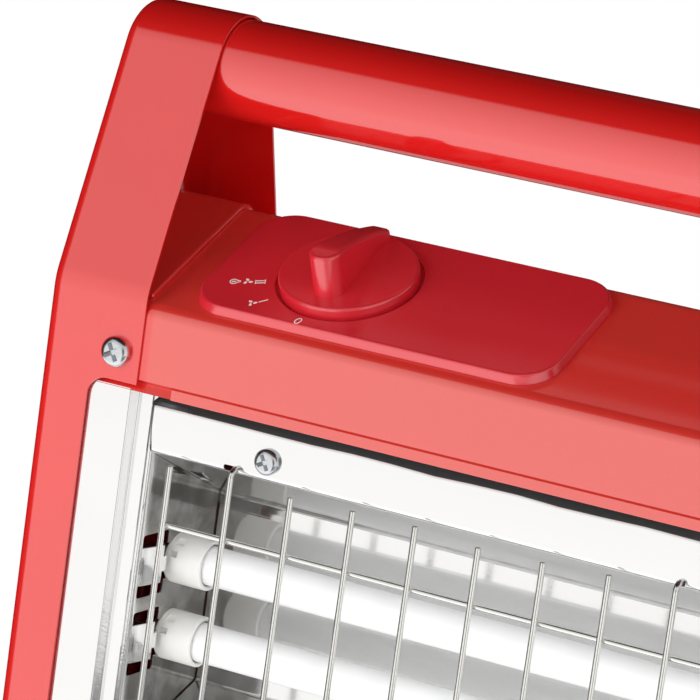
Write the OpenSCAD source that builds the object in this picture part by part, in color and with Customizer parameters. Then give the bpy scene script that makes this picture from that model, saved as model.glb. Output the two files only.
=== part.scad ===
// Quartz heater: a painted sheet case on two feet, with a carrying handle, two mirror troughs
// that hold two quartz tubes each, and a fan between the troughs.
// Millimetres, +Z up, the floor at z = 0, the front towards -Y.

/* [Case] */
// Width over the two end panels
case_w = 412; // [380:1:480]
// Depth over the end panels
case_d = 76.4; // [74:0.2:90]
// Thickness of the painted sheet
sheet_t = 0.8; // [0.6:0.1:1]
// Room left for the bend between an end panel's side and its flange
end_bend_r = 3.5; // [2.5:0.1:4.5]
// Width of an end panel's flange beside the handle and the deck
wide_flange = 33; // [31:0.5:35]
// Width of the flange beside the window
narrow_flange = 17; // [14:0.5:22]
// Radius of the corners where the flange narrows
flange_corner_r = 6; // [3:0.5:9]
// Height from the deck's front edge to where the end panels start to lean
kink_rise = 3.2; // [2:0.2:8]

/* [Cover] */
// Height of the painted strip above and below the window
strip_h = 21.9; // [18:0.1:30]
// Height of the stepped lip on the strip's inner edge
lip_h = 3.6; // [3:0.1:5]
// Depth of the lip's step
lip_step = 0.5; // [0.3:0.1:0.5]
// Tilt of the deck, in degrees
deck_tilt = 26.5; // [22:0.5:28]
// Length of the deck from front to back, along its slope
deck_l = 59.6; // [58:0.1:61]
// Inside radius of the bend at the deck's front edge
deck_front_r = 4.2; // [1:0.1:6]
// Inside radius of the bend at the deck's back edge
deck_back_r = 5.2; // [1:0.1:6]
// Height of the cover's slope behind the deck
fall_h = 37.2; // [30:0.2:44]
// Height of the raised band at each end of the deck
band_h = 1.5; // [0.8:0.1:2]

/* [Handle] */
// Outside diameter of the handle tube
handle_d = 29.4; // [26:0.2:32]
// Wall of the handle tube
handle_wall = 1.2; // [0.8:0.1:2]
// Height of the handle's axis above the deck's front edge
handle_rise = 67.1; // [62:0.1:80]

/* [Window] */
// Height of each trough's mouth
window_h = 94; // [90:0.5:104]
// Height of a trough's back wall
trough_back_h = 58.6; // [52:0.2:66]
// Depth of a trough behind its flange
trough_depth = 45; // [42:0.5:46]
// Height of a reflector's outer screw flange
screw_flange_h = 12.6; // [11:0.1:16]
// Height of a reflector's inner flange, over the fan panel
inner_flange_h = 14; // [13.5:0.1:17]
// Open gap between the lip and a reflector's flange
lip_gap = 4.1; // [3:0.1:6]
// Height of the middle part with the fan
fan_panel_h = 83.6; // [80:0.2:100]
// Thickness of the bright sheet
bright_t = 0.5; // [0.4:0.1:0.6]
// Distance from an end panel's outer face to the trough's end wall
frame_w = 37; // [36:0.5:40]
// Distance from an end panel's outer face to the step in the bright strip
step_in = 28.6; // [28:0.1:29.5]
// Depth of the step in the bright strip
strip_step = 3.6; // [3.5:0.1:4]

/* [Guard] */
// Distance between neighbouring upright wires
wire_pitch = 20; // [16:0.5:26]
// Diameter of the wire
wire_d = 2; // [1.6:0.1:2.2]
// Distance of the top wire below the window's top edge
row_in = 19.8; // [14:0.2:24]
// Distance of the middle wires from the troughs' inner edges
row_mid = 3.2; // [2:0.1:3.5]
// Distance of the upright wires' free ends from the window's edge
wire_end_gap = 1.9; // [1.5:0.1:3]

/* [Heating] */
// Outside diameter of a quartz tube
quartz_d = 11.8; // [10:0.2:12.4]
// Distance between the two tubes of a trough
quartz_pitch = 23.3; // [21:0.1:25]
// Depth of the tubes' axes behind the reflector's flange
quartz_depth = 25; // [24:0.5:27]
// Diameter of a ceramic cap
cap_d = 15.2; // [14.8:0.2:16]
// Length of a ceramic cap inside the trough
cap_l = 11.3; // [9:0.1:14]

/* [Dial] */
// Width of the control panel
panel_w = 113; // [100:0.5:130]
// Length of the control panel along the deck's slope
panel_l = 51; // [49:0.5:52]
// Height of the control panel above the deck
panel_h = 3; // [2.6:0.1:4]
// Corner radius of the control panel
panel_r = 11; // [4:0.5:16]
// Distance of the control panel from the left end panel's outer face
panel_in = 44.2; // [40:0.2:60]
// Diameter of the dial knob
knob_d = 40.7; // [36:0.1:41.5]
// Height of the knob's disc above the control panel
disc_h = 3.4; // [2.6:0.1:6]
// Height of the lever's front end above the disc
lever_h = 13.4; // [10:0.2:15]
// Distance of the knob's centre from the control panel's left edge
knob_in = 38.9; // [26:0.1:70]
// Distance of the knob's centre from the control panel's front edge
knob_back = 25.6; // [23.4:0.1:27]

/* [Fan] */
// Diameter over the fan blades
fan_d = 70; // [56:1:72]
// Number of fan blades
blade_n = 5; // [3:1:6]
// Diameter of the fan shaft
shaft_d = 3.2; // [2.4:0.1:4]

/* [Feet] */
// Height of the base above the floor
foot_h = 16; // [14:0.5:24]
// Length of a foot, front to back
foot_l = 160; // [130:1:200]
// Width of a foot
foot_w = 30; // [26:1:36]

/* [Hidden] */
$fn = 48;

// Colours
case_red = "#c8141c";
dial_red = "#b8202a";
bright = "#dcdcdc";
zinc = "#b4b8bc";
white = "#f2f0ec";
black = "#26262a";
copper = "#b06a3a";

// How far a cut runs past the face it opens
over = 1;
// Clear gap beside a fixed neighbour
seat_gap = 0.3;
// Radial clearance of a running shaft
run_gap = 0.05;
// Points on each bend's arc
bend_steps = 6;

// Heights, from the floor up
base_z = foot_h;
lower_hem_z = base_z + strip_h;
lower_lip_z = lower_hem_z + lip_h;
lower_flange_z = lower_lip_z + lip_gap;
lower_win_z = lower_flange_z + screw_flange_h;
mid_low_z = lower_win_z + window_h;
mid_high_z = mid_low_z + fan_panel_h;
top_win_z = mid_high_z + window_h;
upper_flange_z = top_win_z + screw_flange_h;
upper_lip_z = upper_flange_z + lip_gap;
upper_hem_z = upper_lip_z + lip_h;
deck_z = upper_hem_z + strip_h;
kink_z = deck_z + kink_rise;
handle_z = deck_z + handle_rise;
fan_z = (mid_low_z + mid_high_z) / 2;
function trough_z(upper) = upper ? mid_high_z + window_h / 2 : lower_win_z + window_h / 2;
function quartz_z(i) = trough_z(i <= 2) + (i % 2 == 1 ? 1 : -1) * quartz_pitch / 2;

// Depths, from the front back
half_d = case_d / 2;
half_w = case_w / 2;
front_y = -half_d + sheet_t;
back_y = half_d - sheet_t;
lip_y = front_y + lip_step;
lip_clear = 0.1;
strip_y = lip_y + sheet_t + lip_clear;
rim_y = strip_y + strip_step;
fan_panel_y = rim_y + bright_t;
fan_panel_back_y = fan_panel_y + bright_t;
trough_back_y = rim_y + trough_depth;
quartz_y = rim_y + quartz_depth;
cross_wire_sink = 0.4;
wire_off = 3;
wire_y = rim_y - wire_off;

// Widths, from the middle out
cover_gap = 0.5;
cover_half = half_w - end_bend_r - cover_gap;
cheek_x = half_w - frame_w;
reflector_gap = 0.4;
reflector_half = cheek_x - reflector_gap;
step_x = half_w - step_in;
guard_margin = 5;
wire_n = 2 * floor((cheek_x - guard_margin) / wire_pitch) + 1;
wire_half = (wire_n - 1) / 2 * wire_pitch;
hook_in = 1;

// Handle and the end panels' round top
handle_r = handle_d / 2;
arm_gap = 0.4;
arm_r = handle_r + arm_gap + sheet_t;
arm_reach = norm([half_d, handle_z - kink_z]);
arm_lean = atan(half_d / (handle_z - kink_z)) - asin(arm_r / arm_reach);

// Screws
screw_r = 2;
screw_head_r = 3.9;
screw_head_h = 2.4;
screw_hole_r = screw_r + run_gap;
screw_l = 9;
flange_screw_in = 24;
flange_screw_rise = 6.6;
flange_screw_x = half_w - flange_screw_in;
flange_screw_z = upper_hem_z + flange_screw_rise;
flange_screw_low_z = lower_hem_z - flange_screw_rise;
reflector_screw_off = 29.7;
reflector_screw_x = wire_half - reflector_screw_off;
reflector_screw_in = 5.4;
tab_w = 15;
fan_screw_in = 9.5;
back_screw_in = 10;
back_screw_spread = 70;
back_screw_x = half_w - back_screw_in;
back_screw_zs = [fan_z - back_screw_spread, fan_z + back_screw_spread];
handle_screw_r = 2.5;

// Dial, in the deck's own frame: x along the case, y up the slope, z off the deck
panel_x = -half_w + panel_in + panel_w / 2;
panel_front = 4;
panel_mid_y = panel_front + panel_l / 2;
knob_x = -half_w + panel_in + knob_in;
knob_s = panel_front + knob_back;
knob_r = knob_d / 2;
knob_ring_gap = 1;
recess_depth = 1.4;
recess_floor = panel_h - recess_depth;
knob_lift = 0.4;
knob_low = recess_floor + knob_lift;
knob_high = panel_h + disc_h;
lever_front_r = 4.7;
lever_back_r = 2.9;
lever_back_h = 2.5;
lever_crown = 1.2;
spindle_r = 3;
spindle_flat = 2;
spindle_rise = 3;
spindle_top = knob_high + spindle_rise;
boss_r = 9;
boss_drop = 6;
post_r = 3;
post_x = 14;
switch_size = [22, 24, 16];
ear_t = 2;
ear_half = 18;
switch_screw_r = 1.5;

// Fan and its motor, along y from the fan panel back
hub_r = 11;
blade_w = 20;
blade_t = 1.2;
blade_pitch = 32;
fan_clear = 13;
fan_y = fan_panel_back_y + fan_clear;
hub_l = 13;
grille_r = 37;
grille_ring = 5;
grille_step = 8;
grille_spoke = 4;
bracket_t = 1.2;
bracket_clear = 10;
bracket_margin = 6;
bracket_y = fan_y + bracket_clear;
bracket_half = grille_r + bracket_margin;
bracket_foot = 14;
bracket_h = 20;
plate_t = 1.5;
bearing_r = 4.5;
bearing_l = 3.5;
core_gap = 6;
core_size = [50, 16, 42];
core_bore_r = 11.4;
rotor_r = 11;
front_plate_y = bracket_y + bracket_t;
core_y = front_plate_y + plate_t + core_gap;
back_plate_y = core_y + core_size[1] + core_gap;
shaft_r = shaft_d / 2;
pillar_r = 2.2;
pillar_x = 20;
coil_size = [26, 26, 14];
coil_wrap = 4;
coil_out = coil_wrap + seat_gap;

// Safety and supply pieces
tip_in = 96;
tip_x = half_w - tip_in;
tip_size = [20, 18, 26];
tip_floor = 5;
tip_roof = 2;
plunger_r = 4;
plunger_gap = 0.3;
plunger_travel = 6;
plunger_head_r = 6;
plunger_head_h = 4;
plunger_head_z = base_z + sheet_t + tip_floor + plunger_travel;
plunger_top = base_z + sheet_t + tip_size[2] - 2 * tip_roof;
block_in = 96;
block_x = block_in - half_w;
block_y = 18;
block_size = [44, 16, 14];
cutout_x = 60;
cutout_r = 8;
cutout_h = 10.5;
gland_side = 56;
gland_x = half_w - gland_side;
gland_z = 75;
gland_r = 6;
gland_bore_r = 3.75;
gland_flange_r = 8.5;
gland_nose_r = 7.5;
gland_out = 3;
gland_in = 3.6;

// Feet
foot_in = 36;
foot_x = half_w - foot_in;
foot_web = 4;
foot_top_over = 4;
foot_bend_r = 12;
foot_edge_r = 2;
pad_r = 9;
pad_h = 3.5;
pad_sink = 0.5;
foot_low = pad_h - pad_sink;
foot_end_h = 5;
pad_in = 14;
pad_y = foot_l / 2 - pad_in;
foot_screw_y = 20;

// Tube ends
cap_r = cap_d / 2;
cap_in_x = reflector_half - cap_l;
quartz_r = quartz_d / 2;
quartz_wall = 1.2;
quartz_in_cap = 6;
quartz_end_x = cap_in_x + quartz_in_cap;
neck_r = 5.2;
neck_slack = 0.8;
neck_l = bright_t + neck_slack;
cap_head_l = 4;
cap_head_x = reflector_half + neck_l;
pin_r = 1.4;
pin_l = 10;
pin_end_x = cap_head_x + cap_head_l + pin_l;
nut_r = 3.2;
nut_l = 2.4;
slot_h = 19;
slot_front = 2.6;
slot_front_y = rim_y + slot_front;
slot_neck_y = quartz_y - cap_r;
tab_h = 11.5;
tab_lean = 9;
lead_r = 1.2;

// Directions and bent sheets

function unit(v) = v / norm(v);
function right_of(d) = [d[1], -d[0]];
function turned(v, angle) = [v[0] * cos(angle) - v[1] * sin(angle), v[0] * sin(angle) + v[1] * cos(angle)];
function run_before(pts, i) = unit(pts[max(i, 1)] - pts[max(i, 1) - 1]);
function run_after(pts, i) = unit(pts[min(i + 1, len(pts) - 1)] - pts[min(i + 1, len(pts) - 1) - 1]);
function turn_at(pts, i) = cross(run_before(pts, i), run_after(pts, i));

// A line's corners, all moved to its right by the distance t
function moved(pts, t) = [for (i = [0 : len(pts) - 1])
    let (a = right_of(run_before(pts, i)), b = right_of(run_after(pts, i)))
    pts[i] + t * (a + b) / (1 + a * b)];

// The arc that rounds corner i of a line
function arc_at(pts, i, r) =
    let (a = run_before(pts, i), b = run_after(pts, i), way = sign(turn_at(pts, i)),
        angle = acos(a * b), start = pts[i] - r * tan(angle / 2) * a, mid = start - way * r * right_of(a))
    [for (k = [0 : bend_steps]) mid + turned(start - mid, way * angle * k / bend_steps)];

// A line with a rounded corner wherever a radius is given
function rounded(pts, radii) = [for (i = [0 : len(pts) - 1])
    each (radii[i] > 0 ? arc_at(pts, i, radii[i]) : [pts[i]])];

// Each bend's radius on the line itself, or on its other face at the distance t to the right
function bend_radii(pts, inner, t, own) = [for (i = [0 : len(pts) - 1])
    inner[i] == 0 ? 0 : inner[i] + ((turn_at(pts, i) * t > 0) == own ? 0 : abs(t))];
function reversed(list) = [for (i = [len(list) - 1 : -1 : 0]) list[i]];

// Outline of a bent sheet of thickness t, on the line's right, with the inside radii of its bends
function sheet(pts, inner, t) = concat(rounded(pts, bend_radii(pts, inner, t, true)),
    reversed(rounded(moved(pts, t), bend_radii(pts, inner, t, false))));

// A rectangle about its centre with round corners
module round_plate(w, l, r, h) {
    linear_extrude(h)
        polygon([for (k = [0 : 3], j = [0 : bend_steps])
            let (sx = k == 0 || k == 3 ? 1 : -1, sy = k < 2 ? 1 : -1, a = 90 * (k + j / bend_steps))
            [sx * (w / 2 - r) + r * cos(a), sy * (l / 2 - r) + r * sin(a)]]);
}

// Draws an outline given as (y, z) along x, from one x to another
module along_x(from, to) {
    translate([from, 0, 0])
        rotate([90, 0, 90])
            linear_extrude(to - from)
                children();
}

module both_sides() {
    children();
    mirror([1, 0, 0])
        children();
}

// Above and below the middle of the front
module both_halves() {
    children();
    translate([0, 0, 2 * fan_z])
        mirror([0, 0, 1])
            children();
}

module front_and_back() {
    children();
    mirror([0, 1, 0])
        children();
}

// The deck's frame, with its origin on the sharp front edge
module on_deck() {
    translate([0, front_y, deck_z])
        rotate([deck_tilt, 0, 0])
            children();
}

// A hole along y through the point
module hole_y(x, y, z, r, l) {
    translate([x, y - l / 2, z])
        rotate([-90, 0, 0])
            cylinder(r = r, h = l);
}

// A cross-headed pan screw, its head above z = 0 and its shank below
module pan_screw(r, head_r, head_h, l) {
    dome_r = (head_r * head_r + head_h * head_h) / (2 * head_h);
    cross_w = head_r / 4;
    cross_l = head_r * 1.15;
    cross_low = head_h * 0.45;
    difference() {
        union() {
            intersection() {
                translate([0, 0, head_h - dome_r])
                    sphere(r = dome_r);
                cylinder(r = head_r, h = head_h);
            }
            translate([0, 0, -l])
                cylinder(r = r, h = l + head_h / 4);
        }
        for (turn = [45, 135])
            rotate([0, 0, turn])
                translate([-cross_l / 2, -cross_w / 2, cross_low])
                    cube([cross_l, cross_w, head_h]);
    }
}

module case_screw() {
    pan_screw(screw_r, screw_head_r, screw_head_h, screw_l);
}

// End panels

function kink_at(inset) = kink_z - inset * tan(arm_lean / 2);
arm_steps = 20;
function arm_angle(k) = 180 - arm_lean - k * (180 - 2 * arm_lean) / arm_steps;

// The end panel's side outline, drawn in by a distance, from a height up over the top and down again
function end_outline(inset, low) = concat(
    [[inset - half_d, low], [inset - half_d, kink_at(inset)]],
    [for (k = [0 : arm_steps])
        [(arm_r - inset) * cos(arm_angle(k)), handle_z + (arm_r - inset) * sin(arm_angle(k))]],
    [[half_d - inset, kink_at(inset)], [half_d - inset, low]]);

// The part of the flange that is cut away beside the window
module flange_notch() {
    flange_lap = 1.2;
    inner_x = half_w - wide_flange - over;
    outer_x = half_w - narrow_flange;
    low = lower_hem_z + flange_lap;
    high = upper_hem_z - flange_lap;
    line = [[-inner_x, low], [-outer_x, low], [-outer_x, high], [-inner_x, high]];
    translate([0, half_d + over, 0])
        rotate([90, 0, 0])
            linear_extrude(case_d + 2 * over)
                polygon(rounded(line, [0, flange_corner_r, flange_corner_r, 0]));
}

module end_panel() {
    color(case_red)
        difference() {
            along_x(-half_w, -half_w + wide_flange)
                polygon(end_outline(0, base_z));
            along_x(-half_w + sheet_t, -half_w + wide_flange + over)
                polygon(end_outline(sheet_t, base_z - over));
            flange_notch();
            translate([-half_w - over, 0, handle_z])
                rotate([0, 90, 0])
                    cylinder(r = handle_screw_r + run_gap, h = sheet_t + 2 * over);
            for (z = [flange_screw_z, flange_screw_low_z])
                hole_y(-flange_screw_x, 0, z, screw_hole_r, case_d + 2 * over);
            for (z = back_screw_zs)
                hole_y(-back_screw_x, half_d, z, screw_hole_r, 2 * (sheet_t + over));
        }
}

module left_end_panel() {
    end_panel();
}

module right_end_panel() {
    mirror([1, 0, 0])
        end_panel();
}

// Cover, back and base

deck_back = [front_y + deck_l * cos(deck_tilt), deck_z + deck_l * sin(deck_tilt)];
fall_z = deck_back[1] - fall_h;
back_fall = atan2(fall_h, back_y - deck_back[0]);
lip_rise = 0.6;
cover_line = [[lip_y, upper_lip_z], [lip_y, upper_hem_z - lip_rise], [front_y, upper_hem_z],
    [front_y, deck_z], deck_back, [back_y, fall_z], [back_y, upper_lip_z]];
hem_r = 0.3;
fall_r = 3;
cover_bends = [0, hem_r, hem_r, deck_front_r, deck_back_r, fall_r, 0];

// The raised band at a deck's end starts a little behind the front edge and ends on the fall
band_start = 4;
band_fall = 14;
band_line = [[front_y, deck_z] + band_start * [cos(deck_tilt), sin(deck_tilt)], deck_back,
    deck_back + band_fall * [cos(back_fall), -sin(back_fall)]];
band_grip = 0.3;
band_gap = 0.4;
band_x = half_w - wide_flange + band_gap;

// A tab behind a reflector's flange, hung from the lip, that takes the reflector's screw
module screw_tab() {
    tab_y = rim_y + bright_t;
    shelf_rise = 1;
    tab_clear = 1.2;
    shelf_z = upper_lip_z + shelf_rise;
    tab_low = top_win_z + tab_clear;
    translate([-reflector_screw_x - tab_w / 2, 0, 0]) {
        translate([0, lip_y + sheet_t / 2, shelf_z])
            cube([tab_w, tab_y - lip_y + sheet_t / 2, sheet_t]);
        translate([0, tab_y, tab_low])
            cube([tab_w, sheet_t, shelf_z + sheet_t - tab_low]);
    }
}

module screw_tab_hole() {
    hole_y(-reflector_screw_x, rim_y, top_win_z + reflector_screw_in, screw_hole_r, 4 * over + 2 * sheet_t);
}

module top_cover() {
    color(case_red)
        difference() {
            union() {
                along_x(-cover_half, cover_half)
                    polygon(sheet(cover_line, cover_bends, sheet_t));
                both_sides()
                    along_x(-cover_half, -band_x)
                        polygon(sheet(moved(band_line, -band_h), [0, deck_back_r + sheet_t, 0],
                            band_h + band_grip));
                both_sides()
                    screw_tab();
            }
            both_sides() {
                screw_tab_hole();
                hole_y(-flange_screw_x, 0, flange_screw_z, screw_hole_r, case_d + 2 * over);
            }
            on_deck()
                translate([knob_x, knob_s, -sheet_t - over]) {
                    cylinder(r = boss_r + seat_gap, h = sheet_t + 2 * over);
                    for (side = [-1, 1])
                        translate([side * post_x, 0, 0])
                            cylinder(r = post_r + seat_gap, h = sheet_t + 2 * over);
                }
        }
}

// Rings of slots about the fan's axis, cut through whatever lies at y
module grille_cut(y, rings) {
    depth = 4 * over;
    difference() {
        for (k = [1 : rings])
            difference() {
                hole_y(0, y, fan_z, grille_step * k + grille_ring, depth);
                hole_y(0, y, fan_z, grille_step * k, depth + 2 * over);
            }
        for (turn = [0 : 60 : 120])
            translate([0, y, fan_z])
                rotate([0, turn, 0])
                    cube([4 * grille_r, depth + 4 * over, grille_spoke], center = true);
    }
}

vent_l = 34;
vent_h = 4;
vent_n = 7;
vent_pitch = 48;
vent_zs = [30, 42];

// A slot with round ends along x, through the back panel
module vent(x, z) {
    for (side = [-1, 1])
        hole_y(x + side * (vent_l - vent_h) / 2, back_y, z, vent_h / 2, 4 * over);
    translate([x - (vent_l - vent_h) / 2, back_y - 2 * over, z - vent_h / 2])
        cube([vent_l - vent_h, 4 * over, vent_h]);
}

module back_panel() {
    low = lower_lip_z + seat_gap;
    high = upper_lip_z - seat_gap;
    color(case_red)
        difference() {
            translate([-cover_half, back_y - sheet_t, low])
                cube([2 * cover_half, sheet_t, high - low]);
            grille_cut(back_y, 4);
            for (k = [0 : vent_n - 1], dz = vent_zs)
                vent((k - (vent_n - 1) / 2) * vent_pitch, high - dz);
            hole_y(gland_x, back_y, gland_z, gland_r + run_gap, 4 * over);
            both_sides()
                for (z = back_screw_zs)
                    hole_y(-back_screw_x, back_y, z, screw_hole_r, 4 * over);
        }
}

base_line = [[back_y, lower_lip_z], [back_y, base_z], [front_y, base_z], [front_y, lower_hem_z],
    [lip_y, lower_hem_z + lip_rise], [lip_y, lower_lip_z]];
base_edge_r = 2;
base_bends = [0, base_edge_r, base_edge_r, hem_r, hem_r, 0];

module base_pan() {
    color(case_red)
        difference() {
            union() {
                along_x(-cover_half, cover_half)
                    polygon(sheet(base_line, base_bends, sheet_t));
                translate([0, 0, 2 * fan_z])
                    mirror([0, 0, 1])
                        both_sides()
                            screw_tab();
            }
            both_sides() {
                translate([0, 0, 2 * fan_z])
                    mirror([0, 0, 1])
                        screw_tab_hole();
                hole_y(-flange_screw_x, 0, flange_screw_low_z, screw_hole_r, case_d + 2 * over);
                for (side = [-1, 1])
                    translate([-foot_x, side * foot_screw_y, base_z - over])
                        cylinder(r = screw_hole_r, h = sheet_t + 2 * over);
            }
            translate([tip_x, 0, base_z - over])
                cylinder(r = plunger_r + plunger_gap, h = sheet_t + 2 * over);
        }
}

// Bright pieces of the front

cheek_over = 3;
cheek_back_y = trough_back_y + cheek_over;
plate_over = 4.6;
plate_low = flange_screw_low_z - plate_over;
plate_high = flange_screw_z + plate_over;
plate_line = [[-cover_half, strip_y], [-step_x, strip_y], [-step_x, rim_y], [-cheek_x, rim_y],
    [-cheek_x, cheek_back_y]];
plate_bend = 0.8;

// The slot that a tube's end is slid in through, and the tab that is then bent in before it
module tube_slot(z) {
    depth = bright_t + 2 * over;
    translate([-cheek_x - depth / 2, slot_front_y, z - slot_h / 2])
        cube([depth, slot_neck_y - slot_front_y, slot_h]);
    translate([-cheek_x - depth / 2, slot_front_y, z - neck_r - seat_gap])
        cube([depth, quartz_y - slot_front_y, 2 * (neck_r + seat_gap)]);
    translate([-cheek_x - depth / 2, quartz_y, z])
        rotate([0, 90, 0])
            cylinder(r = neck_r + seat_gap, h = depth);
}

module tube_tab(z) {
    root = 0.6;
    reach = slot_neck_y - slot_front_y + root - 2 * seat_gap;
    translate([-cheek_x, slot_front_y - root, z - tab_h / 2])
        rotate([0, 0, -tab_lean])
            translate([-bright_t, 0, 0])
                cube([bright_t, reach, tab_h]);
}

module tube_plate() {
    color(bright)
        union() {
            difference() {
                translate([0, 0, plate_low])
                    linear_extrude(plate_high - plate_low)
                        polygon(sheet(plate_line, [0, plate_bend, plate_bend, plate_bend, 0], -bright_t));
                for (i = [1 : 4])
                    tube_slot(quartz_z(i));
                for (z = [flange_screw_z, flange_screw_low_z])
                    hole_y(-flange_screw_x, strip_y, z, screw_hole_r, 4 * over);
            }
            for (i = [1 : 4])
                tube_tab(quartz_z(i));
        }
}

module left_tube_plate() {
    tube_plate();
}

module right_tube_plate() {
    mirror([1, 0, 0])
        tube_plate();
}

trough_slope = (window_h - trough_back_h) / 2;
trough_bend = 1.2;
trough_line = [[rim_y, mid_high_z - inner_flange_h], [rim_y, mid_high_z],
    [trough_back_y, mid_high_z + trough_slope], [trough_back_y, top_win_z - trough_slope],
    [rim_y, top_win_z], [rim_y, upper_flange_z]];
hook_slot_w = 4;
hook_slot_h = 3.4;
hook_slot_low = 0.6;
hook_xs = [-wire_half + hook_in * wire_pitch, 0, wire_half - hook_in * wire_pitch];
lock_slot = [7, 2.4];
lock_x = wire_half - 8;

// The upper trough: flange, slanted walls and back, with slots for the guard's hooks
module reflector() {
    difference() {
        along_x(-reflector_half, reflector_half)
            polygon(sheet(trough_line, [0, trough_bend, trough_bend, trough_bend, trough_bend, 0], bright_t));
        for (x = hook_xs)
            translate([x - hook_slot_w / 2, rim_y - over, top_win_z - hook_slot_low])
                cube([hook_slot_w, trough_bend + bright_t + over, hook_slot_h]);
        both_sides() {
            screw_tab_hole();
            hole_y(-reflector_screw_x, rim_y, mid_high_z - fan_screw_in, screw_hole_r, 4 * over);
            translate([-lock_x - lock_slot[0] / 2, rim_y + trough_depth / 3, top_win_z - trough_slope])
                cube([lock_slot[0], lock_slot[1], trough_slope]);
        }
    }
}

module upper_reflector() {
    color(bright)
        reflector();
}

module lower_reflector() {
    color(bright)
        translate([0, 0, 2 * fan_z])
            mirror([0, 0, 1])
                reflector();
}

module fan_panel() {
    edge = 1.6;
    color(bright)
        difference() {
            translate([-reflector_half, fan_panel_y, mid_low_z + edge])
                cube([2 * reflector_half, bright_t, fan_panel_h - 2 * edge]);
            grille_cut(fan_panel_y, 4);
            both_sides() {
                for (z = [mid_low_z + fan_screw_in, mid_high_z - fan_screw_in])
                    hole_y(-reflector_screw_x, fan_panel_y, z, screw_hole_r, 4 * over);
                hole_y(-bracket_half - bracket_foot / 2, fan_panel_y, fan_z, screw_hole_r, 4 * over);
            }
        }
}

wire_r = wire_d / 2;
cross_y = wire_y + wire_d - cross_wire_sink;
hook_back = 7;
hook_rise = 1.2;
hook_z = top_win_z + hook_rise;
function is_hook(i) = i == hook_in || i == (wire_n - 1) / 2 || i == wire_n - 1 - hook_in;

module upright(x, low, high) {
    translate([x, wire_y, low])
        cylinder(r = wire_r, h = high - low);
}

module hook(x) {
    translate([x, wire_y, hook_z]) {
        sphere(r = wire_r);
        rotate([-90, 0, 0])
            cylinder(r = wire_r, h = hook_back);
    }
}

module wire_guard() {
    hook_low_z = 2 * fan_z - hook_z;
    color(zinc)
        union() {
            for (i = [0 : wire_n - 1])
                if (is_hook(i))
                    upright(i * wire_pitch - wire_half, hook_low_z, hook_z);
                else
                    upright(i * wire_pitch - wire_half, lower_win_z + wire_end_gap, top_win_z - wire_end_gap);
            for (z = [lower_win_z + row_in, mid_low_z + row_mid, mid_high_z - row_mid, top_win_z - row_in])
                translate([-wire_half - wire_r, cross_y, z])
                    rotate([0, 90, 0])
                        cylinder(r = wire_r, h = 2 * (wire_half + wire_r));
            both_halves()
                for (x = hook_xs)
                    hook(x);
        }
}

// Handle

handle_gap = 0.2;
handle_half = half_w - end_bend_r - handle_gap;
plug_l = 20;

module handle_tube() {
    color(case_red)
        translate([-handle_half, 0, handle_z])
            rotate([0, 90, 0])
                difference() {
                    cylinder(r = handle_r, h = 2 * handle_half);
                    translate([0, 0, -over])
                        cylinder(r = handle_r - handle_wall, h = 2 * (handle_half + over));
                }
}

module handle_plugs() {
    plug_r = handle_r - handle_wall - run_gap;
    neck = half_w - sheet_t - handle_half;
    color(black)
        both_sides()
            translate([-half_w + sheet_t, 0, handle_z])
                rotate([0, 90, 0])
                    difference() {
                        union() {
                            cylinder(r = plug_r - end_bend_r, h = neck + plug_l);
                            translate([0, 0, neck])
                                cylinder(r = plug_r, h = plug_l);
                        }
                        translate([0, 0, -over])
                            cylinder(r = handle_screw_r + run_gap, h = neck + plug_l + 2 * over);
                    }
}

// Dial and switch

module control_panel() {
    color(dial_red)
        on_deck()
            difference() {
                union() {
                    translate([panel_x, panel_mid_y, 0])
                        round_plate(panel_w, panel_l, panel_r, panel_h);
                    translate([knob_x, knob_s, -boss_drop - sheet_t]) {
                        cylinder(r = boss_r, h = boss_drop + sheet_t + recess_floor / 2);
                        for (side = [-1, 1])
                            translate([side * post_x, 0, 0])
                                cylinder(r = post_r, h = boss_drop + sheet_t + recess_floor / 2);
                    }
                }
                translate([knob_x, knob_s, recess_floor])
                    cylinder(r = knob_r + knob_ring_gap, h = recess_depth + over);
                translate([knob_x, knob_s, -boss_drop - sheet_t - over])
                    cylinder(r = spindle_r + seat_gap, h = boss_drop + panel_h + 2 * over);
                for (side = [-1, 1])
                    translate([knob_x + side * post_x, knob_s, -boss_drop - sheet_t - over])
                        cylinder(r = switch_screw_r + run_gap, h = boss_drop + over);
            }
}

// The round spindle with a flat along its upper part
module flat_spindle(r, flat, low, high, flat_low) {
    difference() {
        translate([0, 0, low])
            cylinder(r = r, h = high - low);
        translate([-r - over, flat, flat_low])
            cube([2 * (r + over), r, high - flat_low + over]);
    }
}

disc_edge = 1.2;
lever_front_end = 15.6;
lever_back_in = 0.4;
lever_front_s = lever_front_r - lever_front_end;
lever_back_end = knob_r - lever_back_in;
lever_mid_r = (lever_front_r + lever_back_r) / 2;
lever_mid_h = (lever_h + lever_back_h) / 2 + lever_crown;

// The knob's disc, with its top edge rounded
module knob_disc() {
    rotate_extrude()
        polygon(concat([[0, knob_low], [knob_r, knob_low]],
            [for (k = [0 : bend_steps])
                [knob_r - disc_edge * (1 - cos(90 * k / bend_steps)),
                    knob_high - disc_edge * (1 - sin(90 * k / bend_steps))]],
            [[0, knob_high]]));
}

// The lever across the disc: tall and round in front, low and square at the disc's back edge
module knob_lever() {
    root = 1;
    hull() {
        translate([0, lever_front_s, knob_high - root])
            cylinder(r = lever_front_r, h = lever_h + root, $fn = 32);
        translate([-lever_mid_r, (lever_front_s + lever_back_end) / 2, knob_high - root])
            cube([2 * lever_mid_r, lever_back_r, lever_mid_h + root]);
        translate([-lever_back_r, lever_back_end - lever_back_r, knob_high - root])
            cube([2 * lever_back_r, lever_back_r, lever_back_h + root]);
    }
}

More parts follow.
